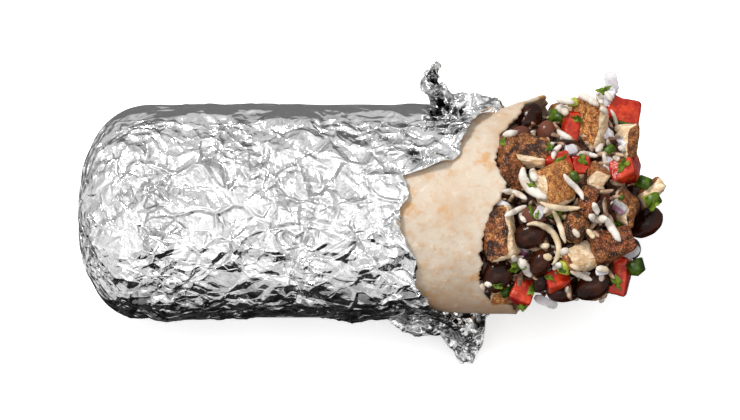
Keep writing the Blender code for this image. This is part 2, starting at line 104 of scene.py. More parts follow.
FLARE_RUN = 11.0 * MM

# How creased the foil is, and how far each layer stands off the roll in mm, at angles round it
FOIL_ROUGHNESS = [(0, 0.30), (38, 0.35), (56, 0.95), (180, 1.0), (200, 1.15), (270, 1.0), (330, 0.5)]
FOIL_SLACK = [(0, 0.8), (170, 0.6), (206, -0.4), (250, 0.2), (300, 0.8)]
TORTILLA_SLACK = [(0, 0.35), (170, 0.35), (206, -0.6), (240, 0.0), (270, 0.35)]

# Deeply folded places in the foil, whose folds are deepened and whose colour gets painted shade: (along, up,
# reach) in mm on the open side
FOLDS_WITH_PAINTED_SHADE = [
    (26, 34, 8), (23, 39, 3), (21.5, 46, 4), (38.5, -40, 4), (33, -36, 3), (14.5, 19, 3.5), (7, -29.5, 3),
    (36, -50, 2.5),
]

# Toasted places on the tortilla: (along, up, reach) in mm on the open side
TOASTED_SPOTS = [
    (11.8, 0.5, 4.5), (24.5, 0.3, 2.8), (19, -28.5, 5), (38.5, 17.5, 4), (36, -22, 3), (33, 35, 3),
    (60, 40, 6),
]


class Wire:
    """A node's output that takes part in Python expressions; each operation adds a Math node."""

    def __init__(self, tree, socket):
        self.tree = tree
        self.socket = socket

    def __add__(self, other):
        return self.tree.math("ADD", self, other)

    def __radd__(self, other):
        return self.tree.math("ADD", other, self)

    def __sub__(self, other):
        return self.tree.math("SUBTRACT", self, other)

    def __rsub__(self, other):
        return self.tree.math("SUBTRACT", other, self)

    def __mul__(self, other):
        return self.tree.math("MULTIPLY", self, other)

    def __rmul__(self, other):
        return self.tree.math("MULTIPLY", other, self)

    def __pow__(self, other):
        return self.tree.math("POWER", self, other)

    def __abs__(self):
        return self.tree.math("ABSOLUTE", self, 0.0)


class Tree:
    """Adds nodes to a node tree."""

    def __init__(self, owner):
        self.nodes = owner.nodes
        self.links = owner.links

    def feed(self, socket, value):
        if isinstance(value, Wire):
            self.links.new(value.socket, socket)
        elif isinstance(value, tuple) and len(value) == 3 and socket.type == "RGBA":
            socket.default_value = (*value, 1.0)
        else:
            socket.default_value = value

    def add(self, kind, settings=(), sockets=(), out=0):
        """One output of a new node, whose settings are made before its sockets are fed."""
        node = self.nodes.new(kind)
        for name, value in dict(settings).items():
            setattr(node, name, value)
        for name, value in dict(sockets).items():
            self.feed(node.inputs[name], value)
        return Wire(self, node.outputs[out])

    def math(self, operation, first, second, clamp=False):
        settings = {"operation": operation, "use_clamp": clamp}
        return self.add("ShaderNodeMath", settings, {0: first, 1: second})

    def vector(self, operation, first, second, out=0):
        return self.add("ShaderNodeVectorMath", {"operation": operation}, {0: first, 1: second}, out)

    def greater(self, first, second):
        return self.math("MAXIMUM", first, second)

    def clamped(self, value):
        return self.math("ADD", value, 0.0, clamp=True)

    def ramp(self, value, low, high):
        """0 at low, 1 at high, smooth between."""
        sockets = {"Value": value, "From Min": low, "From Max": high}
        return self.add("ShaderNodeMapRange", {"interpolation_type": "SMOOTHSTEP"}, sockets)

    def mix(self, share, first, second):
        return self.add("ShaderNodeMix", {"data_type": "RGBA"}, {0: share, 6: first, 7: second}, out=2)

    def shades(self, value, low, high, first, second):
        """The first colour at low and the second at high, as numbers from 0 to 255."""
        return self.mix(self.ramp(value, low, high), srgb(*first), srgb(*second))

    def place(self):
        return self.add("ShaderNodeTexCoord", out="Object")

    def turned(self, place, angles, scale=(1.0, 1.0, 1.0)):
        sockets = {"Vector": place, "Rotation": angles, "Scale": scale}
        return self.add("ShaderNodeMapping", (), sockets)

    def noise(self, place, size, detail=3.0, roughness=0.55):
        """Smooth noise about 0.5, its lumps about this size."""
        sockets = {"Vector": place, "Scale": 1 / size, "Detail": detail, "Roughness": roughness}
        return self.add("ShaderNodeTexNoise", (), sockets, out="Fac")

    def facets(self, place, size, slope, step):
        """Heights of flat-sided peaks and pits of about this size, and of sharp steps between them."""
        sockets = {"Vector": place, "Scale": 1 / size}
        random = self.add("ShaderNodeTexVoronoi", (), sockets, out="Color")
        centre = Wire(self, random.socket.node.outputs["Position"])
        edge = self.add("ShaderNodeTexVoronoi", {"feature": "DISTANCE_TO_EDGE"}, sockets, out="Distance")
        lean = self.vector("SUBTRACT", random, (0.5,) * 3)
        rise = self.vector("DOT_PRODUCT", self.vector("SUBTRACT", place, centre), lean, "Value")
        sign = self.add("ShaderNodeSeparateXYZ", (), {"Vector": lean}, out="Z")
        return edge * sign * (2 * slope * size) + rise * step * self.ramp(edge, 0.0, 0.13)

    def warped(self, place, size, depth, detail=2.0):
        """A place moved about by noise of a size, to a depth."""
        sockets = {"Vector": place, "Scale": 1 / size, "Detail": detail}
        drift = self.add("ShaderNodeTexNoise", (), sockets, out="Color")
        sockets = {0: self.vector("SUBTRACT", drift, (0.5,) * 3), 1: (depth,) * 3, 2: place}
        return self.add("ShaderNodeVectorMath", {"operation": "MULTIPLY_ADD"}, sockets)

    def bump(self, height, depth, strength=1.0):
        sockets = {"Height": height, "Distance": depth, "Strength": strength}
        return self.add("ShaderNodeBump", (), sockets)

    def on_open_side(self, place):
        """How far a place lies along the roll and up its open side from the middle, in mm."""
        offset = self.vector("SUBTRACT", place, tuple(AXIS))
        return [self.vector("DOT_PRODUCT", offset, tuple(way / MM), "Value") for way in (RIGHT, UP)]

    def spots(self, along, up, spots, outer=1.2, inner=0.4):
        """1 within (along, up, reach) spots, fading to 0 outside them."""
        share = 0.0
        for right, high, reach in spots:
            gap = ((along - right) ** 2.0 + (up - high) ** 2.0) ** 0.5
            share = self.greater(share, self.ramp(gap, reach * outer, reach * inner))
        return share

    def attribute(self, name):
        return self.add("ShaderNodeAttribute", {"attribute_name": name}, out="Fac")


def srgb(red, green, blue):
    """A colour from 0 to 255 as linear light."""
    return tuple(
        c / 12.92 if c <= 0.04045 else ((c + 0.055) / 1.055) ** 2.4
        for c in (red / 255, green / 255, blue / 255)
    )


def make_material(name, build, **constants):
    """A Principled material: build(tree) gives the sockets that vary, constants the rest."""
    material = bpy.data.materials.new(name)
    material.use_nodes = True
    tree = Tree(material.node_tree)
    shader = tree.nodes["Principled BSDF"]
    for socket, value in constants.items():
        shader.inputs[socket.replace("_", " ")].default_value = value
    for socket, value in build(tree).items():
        tree.feed(shader.inputs[socket], value)
    return material


def foil_looks(tree):
    """Flat facets with sharp folds between them, smaller in patches and few on the far side, with painted
    shade in the colour at deep folds, along the roll's foot and in the facets' pits.
    """
    place = tree.place()
    bent = tree.warped(place, 16 * MM, 10 * MM, 0.0)
    large = tree.facets(bent, 11 * MM, 0.55, 0.35)
    bent = tree.warped(tree.turned(place, (0.5, 0.7, 0.3), (1.0, 1.3, 1.6)), 9 * MM, 5 * MM, 0.0)
    middle = tree.facets(bent, 6 * MM, 0.85, 0.35)
    bent = tree.warped(tree.turned(place, (0.2, 1.1, 0.9), (1.2, 0.9, 1.5)), 5 * MM, 2 * MM, 0.0)
    fine = tree.facets(bent, 3.0 * MM, 0.8, 0.3)
    patchy = tree.ramp(tree.noise(place, 16 * MM), 0.40, 0.62)
    along, up = tree.on_open_side(place)
    # Painted shade: the colour darkens at the deeply folded places and along the roll's foot, most in the
    # pits of the middle and fine facets, broken up by noise blotches.
    folds_and_painted_shade = tree.spots(along, up, FOLDS_WITH_PAINTED_SHADE)
    pits = tree.greater(tree.ramp(middle, -0.1 * MM, -0.5 * MM), tree.ramp(fine, -0.1 * MM, -0.35 * MM) * 0.8)
    foot = tree.ramp(up, -21.0, -32.0) * 0.8
    shade_blotches = tree.ramp(tree.noise(bent, 2.2 * MM, 2.0), 0.4, 0.56)
    shaded = tree.greater(folds_and_painted_shade, foot) * tree.clamped(pits + 0.4 * shade_blotches)
    worn = tree.ramp(up, 33.0, 29.0) * (0.45 + 0.55 * tree.ramp(up, -37.0, -16.0))
    worn = tree.greater(worn, folds_and_painted_shade)
    small = middle * (0.3 + 0.7 * patchy) + fine * (0.05 + 0.6 * patchy)
    height = large * (0.15 + 0.85 * worn) + small * worn
    return {
        # The painted shade takes the colour from bright foil down to near black.
        "Base Color": tree.mix(shaded, (0.94, 0.94, 0.94), (0.03, 0.03, 0.03)),
        "Roughness": 0.05 + 0.10 * tree.noise(place, 5 * MM),
        "Normal": tree.bump(height * (1 / MM), 1.0 * MM),
    }


def tortilla_looks(tree):
    place = tree.place()
    broad = tree.noise(place, 13 * MM, 4.0)
    mottled = tree.noise(place, 3.2 * MM, 5.0, 0.65)
    grain = tree.noise(place, 0.9 * MM, 2.0)
    colour = tree.shades(broad, 0.35, 0.68, (199, 185, 167), (190, 167, 142))
    colour = tree.mix(tree.ramp(mottled, 0.46, 0.68) * 0.6, colour, srgb(192, 152, 114))
    floury = tree.ramp(tree.noise(tree.turned(place, (0.3, 0.2, 0.9)), 4 * MM, 5.0, 0.7), 0.55, 0.75)
    colour = tree.mix(floury * 0.5, colour, srgb(236, 226, 208))
    wander = tree.warped(place, 4 * MM, 3 * MM)
    toasted = tree.ramp(tree.noise(wander, 11 * MM, 3.0), 0.66, 0.76)
    along, up = tree.on_open_side(wander)
    toasted = tree.greater(toasted, tree.spots(along, up, TOASTED_SPOTS, 1.3, 0.2))
    # Painted shade with some toasting: the colour turns browner and darker towards the foot of the open side.
    colour = tree.mix(tree.ramp(up, -22.0, -35.0) * 0.5, colour, srgb(170, 130, 100))
    colour = tree.mix(toasted * tree.ramp(mottled, 0.36, 0.60) * 0.7, colour, srgb(192, 142, 82))
    height = broad * 1.2 + mottled * 0.5 + grain * 0.14
    return {
        "Base Color": colour,
        "Roughness": 0.62 + 0.15 * mottled,
        "Normal": tree.bump(height, 0.9 * MM, 0.6),
    }


def chicken_looks(tree):
    """Cut faces with pale fibres, and seared, blistered ones from golden to dark brown and black."""
    place = tree.place()
    sear, tone, char = (tree.attribute(name) for name in ("sear", "tone", "char"))
    fibre = tree.noise(tree.turned(place, (0.4, 0.3, 0.5), (0.25, 1.0, 1.0)), 1.1 * MM, 4.0, 0.6)
    patch = tree.noise(place, 4.5 * MM, 3.0)
    fleck = tree.noise(place, 1.8 * MM, 4.0, 0.7)
    blister = abs(tree.noise(place, 1.1 * MM, 1.0) - 0.5)
    pale = tree.shades(fibre, 0.35, 0.65, (200, 164, 122), (234, 214, 184))
    pale = tree.mix(tree.ramp(patch, 0.5, 0.7) * 0.5, pale, srgb(206, 154, 98))
    golden = tree.shades(fleck, 0.35, 0.65, (150, 80, 34), (226, 158, 88))
    brown = tree.shades(fleck, 0.40, 0.66, (38, 15, 8), (160, 84, 42))
    brown = tree.mix(tree.ramp(patch, 0.50, 0.66) * 0.5, brown, srgb(176, 104, 60))
    seared = tree.mix(tree.clamped(tone + 2.0 * (patch - 0.5)), golden, brown)
    seared = tree.mix(tree.ramp(blister, 0.05, 0.0) * 0.4, seared, srgb(44, 16, 7))
    wander = tree.warped(place, 4 * MM, 3 * MM)
    burnt = tree.ramp(tree.noise(wander, 4 * MM, 4.0, 0.6) + 0.13 * char, 0.60, 0.68)
    seared = tree.mix(burnt * (0.6 + 0.4 * tone), seared, srgb(34, 19, 14))
    edge = tree.ramp(sear + 0.5 * (fleck - 0.5), 0.35, 0.65)
    height = fibre * (0.9 - 0.6 * edge) + edge * (fleck * 0.6 + patch + tree.ramp(blister, 0.0, 0.12) * 0.45)
    return {
        "Base Color": tree.mix(edge, pale, seared),
        "Roughness": 0.42 - 0.29 * edge + 0.25 * (fleck - 0.5),
        "Normal": tree.bump(height, 0.9 * MM),
    }


def tomato_looks(tree):
    """Deep red skin on some sides, paler flesh with fine cells on the others."""
    place = tree.place()
    broad = tree.noise(place, 4 * MM)
    cells = tree.noise(place, 1.2 * MM, 3.0)
    skin = tree.shades(broad, 0.3, 0.7, (108, 4, 0), (172, 24, 6))
    flesh = tree.shades(broad, 0.3, 0.7, (150, 20, 6), (204, 62, 28))
    flesh = tree.mix(tree.ramp(cells, 0.55, 0.72) * 0.4, flesh, srgb(220, 108, 62))
    share = tree.attribute("flesh")
    return {
        "Base Color": tree.mix(tree.ramp(share + 0.3 * (broad - 0.5), 0.35, 0.65), skin, flesh),
        "Roughness": 0.08 + 0.20 * broad,
        "Normal": tree.bump(broad * 0.8 + cells * (0.15 + 0.35 * share), 0.7 * MM, 0.8),
    }


def bean_looks(tree):
    place = tree.place()
    broad = tree.noise(place, 6 * MM)
    wrinkle = tree.noise(place, 1.3 * MM, 3.0)
    pale = tree.attribute("tone")
    dark = tree.shades(broad, 0.35, 0.7, (28, 8, 2), (64, 26, 9))
    return {
        "Base Color": tree.mix(pale, dark, srgb(122, 72, 56)),
        "Roughness": 0.05 + 0.16 * broad,
        "Normal": tree.bump(broad * 1.4 + wrinkle * 0.24, 0.6 * MM, 0.6),
    }


def core_looks(tree):
    place = tree.place()
    patch = tree.noise(place, 6 * MM)
    fine = tree.noise(place, 1.6 * MM, 4.0)
    # Dark browns that are partly the sauce's own colour and partly painted shade for the gaps between the
    # pieces.
    colour = tree.shades(patch, 0.35, 0.65, (30, 14, 7), (78, 44, 26))
    colour = tree.mix(tree.ramp(fine, 0.55, 0.75) * 0.5, colour, srgb(128, 90, 66))
    return {
        "Base Color": colour,
        "Roughness": 0.35 + 0.3 * fine,
        "Normal": tree.bump(fine + patch, 0.6 * MM, 0.8),
    }


def rice_looks(tree):
    place = tree.place()
    patch = tree.noise(place, 5 * MM)
    fine = tree.noise(place, 1.0 * MM)
    colour = tree.shades(patch, 0.40, 0.70, (216, 209, 200), (190, 172, 150))
    return {
        "Base Color": colour,
        "Roughness": 0.38 + 0.2 * fine,
        "Normal": tree.bump(fine + patch, 0.3 * MM, 0.5),
    }


def stained_rice_looks(tree):
    place = tree.place()
    patch = tree.noise(place, 4 * MM)
    colour = tree.shades(patch, 0.35, 0.65, (92, 60, 42), (192, 162, 134))
    return {"Base Color": colour, "Roughness": 0.30 + 0.2 * patch}


def cheese_looks(tree):
    place = tree.place()
    patch = tree.noise(place, 4 * MM)
    colour = tree.shades(patch, 0.35, 0.65, (218, 202, 174), (198, 174, 140))
    return {
        "Base Color": colour,
        "Roughness": 0.40 + 0.2 * patch,
        "Normal": tree.bump(tree.noise(place, 1.2 * MM) + patch, 0.35 * MM, 0.5),
    }


def onion_looks(tree):
    place = tree.place()
    skin = tree.attribute("skin")
    patch = tree.noise(place, 3 * MM)
    white = tree.shades(patch, 0.35, 0.65, (208, 206, 207), (178, 171, 175))
    return {
        "Base Color": tree.mix(tree.ramp(skin + 0.4 * (patch - 0.5), 0.4, 0.7), white, srgb(138, 58, 96)),
        "Roughness": 0.22 + 0.2 * patch,
        "Normal": tree.bump(patch, 0.4 * MM, 0.5),
    }


def pepper_looks(tree):
    place = tree.place()
    skin = tree.attribute("skin")
    patch = tree.noise(place, 2.5 * MM)
    flesh = tree.shades(patch, 0.35, 0.65, (140, 152, 34), (178, 186, 76))
    peel = tree.shades(patch, 0.35, 0.65, (36, 60, 6), (82, 108, 16))
    return {
        "Base Color": tree.mix(tree.ramp(skin, 0.4, 0.6), flesh, peel),
        "Roughness": 0.24 + 0.2 * patch,
        "Normal": tree.bump(patch, 0.4 * MM, 0.5),
    }


def leaf_looks(tree):
    place = tree.place()
    patch = tree.noise(place, 2.0 * MM)
    vein = tree.attribute("skin")
    colour = tree.shades(patch, 0.35, 0.65, (46, 72, 8), (112, 132, 30))
    return {
        "Base Color": tree.mix(vein * 0.5, colour, srgb(158, 172, 76)),
        "Roughness": 0.40 + 0.2 * patch,
        "Normal": tree.bump(patch - 0.4 * vein, 0.3 * MM, 0.6),
    }


def table_looks(tree):
    return {"Base Color": (0.95, 0.95, 0.95), "Roughness": 0.9, "Emission Color": (1.0, 1.0, 1.0)}


# ---------------------------------------------------------------- the roll's form


def around(points, degrees):
    """Values at angles, from (degrees, value) points that close on themselves."""
    places, values = zip(*points)
    return np.interp(degrees, places, values, period=360)


def smooth_step(value):
    value = np.clip(value, 0.0, 1.0)
    return value * value * (3 - 2 * value)


def section(turn, inset, fullness):
    """Points of the roll's cross-section, flat on its base, shrunk about the axis by fullness."""
    y = (HALF_WIDTH - inset) * np.cos(turn)
    z = np.maximum((HALF_HEIGHT - inset) * np.sin(turn), inset - AXIS_HEIGHT)
    return AXIS_Y + y * fullness, AXIS_HEIGHT + z * fullness


def outward(turn, tip):
    """Outward directions, leaning towards the closed end by tip."""
    across = np.stack([np.zeros_like(turn), np.cos(turn) / HALF_WIDTH, np.sin(turn) / HALF_HEIGHT], -1)
    across /= np.linalg.norm(across, axis=-1, keepdims=True)
    lean = np.stack([-tip, np.sqrt(1 - tip**2), np.sqrt(1 - tip**2)], -1)
    lean[..., 1:] *= across[..., 1:]
    return lean


def on_base(turn):
    """1 where the roll is flat on the table, fading to 0 up its sides."""
    return smooth_step((-np.sin(turn) - 0.80) / 0.12)


class Layer:
    """A layer's outer face as a grid: rows from the closed end's pole to the torn edge."""

    def __init__(self, inset, reach, flare, end_rows, run_rows, columns):
        self.columns = columns
        turn = np.linspace(0, math.tau, columns, endpoint=False)
        # Columns crowd together on the side that is seen most
        turn = turn - 0.42 * np.sin(turn - CROWDED) + 0.42 * math.sin(-CROWDED)
        degrees = np.degrees(turn)
        quarter = np.linspace(0, math.pi / 2, end_rows + 1)[:, None]
        start = CLOSED_END + END_ROUNDING
        end_x = start - (END_ROUNDING - inset) * np.cos(quarter) ** (2 / SHOULDER_ALONG)
        end_full = np.sin(quarter) ** (2 / SHOULDER_ROUND)
        share = np.linspace(0, 1, run_rows + 1)[1:, None]
        edge = MIDDLE + reach(degrees) * MM
        run_x = start + (edge - start)[None, :] * share
        self.turn = np.tile(turn, (end_rows + 1 + run_rows, 1))
        self.x = np.vstack([np.tile(end_x, (1, columns)), run_x])
        self.full = np.vstack([np.tile(end_full, (1, columns)), np.ones_like(run_x)])
        self.tip = np.vstack([np.tile(np.cos(quarter), (1, columns)), np.zeros_like(run_x)])
        self.to_edge = edge[None, :] - self.x
        self.flare = smooth_step(1 - self.to_edge / FLARE_RUN) * around(flare, degrees)[None, :] * MM
        self.inset = inset
        # Distances over the surface, round the roll and along it
        self.round_way = self.turn / math.tau * ROUND_LENGTH
        steps = np.hypot(np.diff(self.x, axis=0), np.diff(self.full * HALF_WIDTH, axis=0))
        self.long_way = np.vstack([np.zeros(columns), np.cumsum(steps, axis=0)])

    def points(self, lift, sink=0.0):
        """The grid's points, lifted outward by an array of heights."""
        y, z = section(self.turn, self.inset + sink, self.full)
        base = np.stack([self.x, y, z], -1)
        rise = (lift + self.flare) * (1 - on_base(self.turn))
        return base + outward(self.turn, self.tip) * rise[..., None]


ROUND_LENGTH = math.pi * (HALF_WIDTH + HALF_HEIGHT)
CROWDED = math.radians(120)


def facet_field(layer, spacing, seed, warp=0.35):
    """Heights from -1 to 1 over a layer, in flat triangles about this far apart."""
    rng = np.random.default_rng(seed)
    columns = max(6, round(ROUND_LENGTH / spacing))
    rows = int(layer.long_way.max() / spacing) + 4
    step = ROUND_LENGTH / columns
    jitter = rng.uniform(-0.38, 0.38, (rows, columns, 2)) * step
    heights = rng.uniform(-1, 1, (rows, columns))
    points = []
    for row in range(rows):
        for column in range(-2, columns + 3):
            dx, dy = jitter[row, column % columns]
            points.append((column * step + dx, (row - 1) * step + dy, heights[row, column % columns]))
    width = columns + 5
    faces = []
    for row in range(rows - 1):
        for column in range(width - 1):
            a = row * width + column
            b, c, d = a + 1, a + width + 1, a + width
            if rng.random() < 0.5:
                faces += [(a, b, c), (a, c, d)]
            else:
                faces += [(a, b, d), (b, c, d)]
    tree = BVHTree.FromPolygons(points, faces)
    down = Vector((0, 0, -1))
    bend = warp * step
    out = np.zeros(layer.x.size)
    ways = zip(layer.round_way.ravel(), layer.long_way.ravel())
    for index, (u, v) in enumerate(ways):
        spin = u / ROUND_LENGTH * math.tau
        du = bend * math.sin(v / step * 1.3 + 2 * math.sin(spin * 3))
        dv = bend * math.sin(v / step * 0.9 + 3 * math.cos(spin * 2))
        hit = tree.ray_cast(Vector((u + du, v + dv, 9.0)), down)[0]
        out[index] = hit.z if hit else 0.0
    return out.reshape(layer.x.shape)


def noise_field(layer, size, seed):
    """Smooth noise from about -1 to 1 over a layer."""
    y, z = section(layer.turn, layer.inset, layer.full)
    points = np.stack([layer.x, y, z], -1).reshape(-1, 3)
    shift = Vector((seed * 5.1, seed * 2.7, seed))
    return np.array([noise.noise(Vector(p) / size + shift) for p in points]).reshape(layer.x.shape)


def pinch_field(layer, count, length, width, seed, angles=(0, 360), turns=(0, 180)):
    """Short sharp folds scattered over a layer: 0 away from them, up to 1 along their crests."""
    rng = np.random.default_rng(seed)
    field = np.zeros_like(layer.x)
    longest = layer.long_way.max()
    for _ in range(count):
        u0 = rng.uniform(*angles) / 360 * ROUND_LENGTH
        v0 = rng.uniform(0, longest)
        angle = math.radians(rng.uniform(*turns))
        half = rng.uniform(*length) / 2
        half_width = rng.uniform(*width) / 2
        strength = rng.uniform(0.5, 1.0) * rng.choice([-0.7, 1.0])
        du = (layer.round_way - u0 + ROUND_LENGTH / 2) % ROUND_LENGTH - ROUND_LENGTH / 2
        dv = layer.long_way - v0
        along = du * math.cos(angle) + dv * math.sin(angle)
        across = dv * math.cos(angle) - du * math.sin(angle)
        across += 0.25 * np.sin(along / half * 2.6 + u0) * half_width
        ridge = np.clip(1 - np.abs(across) / half_width, 0, 1)
        ends = np.clip(1 - (np.abs(along) / half) ** 2, 0, 1)
        field += strength * ridge * ends
    return np.clip(field, -1, 1.4)


def mend(mesh, gap=0.0, outward=True):
    """Merges a mesh's points that lie within a gap, and turns its faces outward."""
    bm = bmesh.new()
    bm.from_mesh(mesh)
    if gap:
        bmesh.ops.remove_doubles(bm, verts=bm.verts, dist=gap)
    if outward:
        bmesh.ops.recalc_face_normals(bm, faces=bm.faces)
    bm.to_mesh(mesh)
    bm.free()


def grid_mesh(name, shells, material):
    """One closed mesh from grids of points that share their columns, joined row to row."""
    columns = shells[0].shape[1]
    points = np.concatenate([shell.reshape(-1, 3) for shell in shells])
    rows = len(points) // columns
    index = np.arange(rows * columns).reshape(rows, columns)
    after = np.roll(index, -1, axis=1)
    faces = np.stack([index[:-1], after[:-1], after[1:], index[1:]], -1).reshape(-1, 4)
    mesh = bpy.data.meshes.new(name)
    mesh.from_pydata(points.tolist(), [], faces.tolist())
    mend(mesh, MERGE)
    return new_piece(name, mesh, material)


def rides(piece, slot, *nodes):
    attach(piece, "root")
    if nodes:
        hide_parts(*nodes)


def torn(degrees, reach, sizes):
    """A reach with its edge torn: (waves round the roll, depth in mm) for each size of tear."""
    out = around(reach, degrees)
    for number, (count, depth) in enumerate(sizes):
        angles = np.radians(degrees)
        ring = [(math.cos(a) * count / 6, math.sin(a) * count / 6, 1.7 * number) for a in angles]
        out = out + depth * np.array([noise.noise(Vector(p)) for p in ring])
    return out


# Columns round the roll, rows over the closed end and rows along the roll
FOIL_GRID, QUICK_FOIL_GRID = (385, 66, 168), (150, 34, 80)
TORTILLA_GRID, QUICK_TORTILLA_GRID = (220, 12, 150), (110, 8, 70)


def make_foil(material):
    columns, end_rows, run_rows = FOIL_GRID

    def reach(degrees):
        return torn(degrees, FOIL_REACH, [(30, 1.6), (90, 1.3)])

    layer = Layer(0.0, reach, FOIL_FLARE, end_rows, run_rows, columns)
    broad = facet_field(layer, 12 * MM, 3)
    middle = facet_field(layer, 5.2 * MM, 5)
    fine = facet_field(layer, 2.5 * MM, 8)
    pinches = pinch_field(layer, 210, (6 * MM, 17 * MM), (1.9 * MM, 3.2 * MM), 11)
    nips = pinch_field(layer, 420, (3 * MM, 8 * MM), (1.2 * MM, 2.0 * MM), 13)
    foot = pinch_field(layer, 60, (12 * MM, 42 * MM), (2.6 * MM, 4.0 * MM), 12, (150, 215), (62, 118))
    # The far side is smooth, and the near side's foot is folded most
    degrees = np.degrees(layer.turn)
    rough = around(FOIL_ROUGHNESS, degrees)
    patches = noise_field(layer, 17 * MM, 2)
    rumpled = 0.35 + 1.15 * smooth_step((patches + 0.25) / 0.5)
    creases = 1.2 * broad + rumpled * (0.75 * middle + 0.10 * fine + 0.30 * nips) + 0.9 * pinches
    hem = 0.4 * smooth_step(1 - np.abs(layer.to_edge / MM - 1.6) / 1.2)
    slack = around(FOIL_SLACK, degrees)
    lift = (slack + rough * creases + 0.6 * foot + hem) * MM
    outer = layer.points(lift * layer.full)
    under = outer - outward(layer.turn, layer.tip) * (0.16 * MM)
    inner = layer.points(np.zeros_like(lift), sink=0.1 * MM)
    back = np.arange(len(inner) - 1, -1, -16)
    keep = smooth_step(layer.to_edge / (8 * MM))[..., None]
    lining = (under * (1 - keep) + inner * keep)[back]
    piece = grid_mesh("foil_sheet", [outer, lining, inner[:1]], material)
    rides(piece, "foil", "foil_wrap")
    return piece


def make_tortilla(material):
    columns, end_rows, run_rows = TORTILLA_GRID

    def reach(degrees):
        return torn(degrees, TORTILLA_REACH, [(54, 1.2), (180, 1.0)])

    layer = Layer(TORTILLA_INSET, reach, TORTILLA_FLARE, end_rows, run_rows, columns)
    soft, fine = noise_field(layer, 14 * MM, 1), noise_field(layer, 5 * MM, 3)
    covered = (MIDDLE + around(FOIL_REACH, np.degrees(layer.turn)) * MM - 3 * MM - layer.x) / (4 * MM)
    hidden = smooth_step(covered) * layer.full
    slack = around(TORTILLA_SLACK, np.degrees(layer.turn))
    lift = (1 - hidden) * (slack + 0.5 * soft + 0.18 * fine) * layer.full * MM - hidden * 1.3 * MM
    outer = layer.points(lift)
    thin = 1 - 0.45 * smooth_step(1 - layer.to_edge / (3 * MM))
    inner = outer - outward(layer.turn, layer.tip) * (TORTILLA_THICK * thin)[..., None]
    back = np.r_[np.arange(len(inner) - 1, len(inner) - 24, -1), np.arange(len(inner) - 24, -1, -8)]
    middle = (outer[-1] + inner[-1]) / 2
    lip = middle + np.array([0.45 * MM, 0, 0])
    piece = grid_mesh("tortilla_wrap", [outer, lip[None], inner[back], inner[:1]], material)
    rides(piece, "tortilla", "tortilla")
    return piece


def new_piece(name, mesh, material=None):
    piece = bpy.data.objects.new(name, mesh)
    bpy.context.scene.collection.objects.link(piece)
    if material:
        mesh.materials.clear()
        mesh.materials.append(material)
        mesh.shade_smooth()
    return piece


def settled_mesh(piece):
    """The mesh a piece has after its modifiers, which are then taken off."""
    evaluated = piece.evaluated_get(bpy.context.evaluated_depsgraph_get())
    mesh = bpy.data.meshes.new_from_object(evaluated)
    piece.modifiers.clear()
    return mesh


def fine_copy(node, name, voxel, smoothing, material):
    """A finely meshed copy of a CAD piece with its edges softened."""
    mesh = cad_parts[node].data.copy()
    mend(mesh, MERGE, outward=False)
    piece = new_piece(name, mesh)
    remesh = piece.modifiers.new("fine", "REMESH")
    remesh.mode = "VOXEL"
    remesh.voxel_size = voxel
    soften = piece.modifiers.new("soften", "SMOOTH")
    soften.factor = 0.5
    soften.iterations = smoothing
    piece.data = settled_mesh(piece)
    piece.data.materials.clear()
    piece.data.materials.append(material)
    piece.data.shade_smooth()
    return piece


def corners(mesh):
    """A mesh's points and their normals as arrays."""
    count = len(mesh.vertices)
    points, normals = np.empty(count * 3), np.empty(count * 3)
    mesh.vertices.foreach_get("co", points)
    mesh.vertices.foreach_get("normal", normals)
    return points.reshape(-1, 3), normals.reshape(-1, 3)


def waves(points, size, shift=0.0):
    """Smooth noise from about -1 to 1 at points."""
    return np.array([noise.noise(Vector(p) / size + Vector((shift, shift, shift))) for p in points])


def keep_values(mesh, **values):
    for name, numbers in values.items():
        attribute = mesh.attributes.new(name, "FLOAT", "POINT")
        attribute.data.foreach_set("value", np.broadcast_to(numbers, len(mesh.vertices)).astype(np.float32))


def move_out(mesh, points, normals, heights):
    mesh.vertices.foreach_set("co", (points + normals * heights[:, None]).ravel())
    mesh.update()


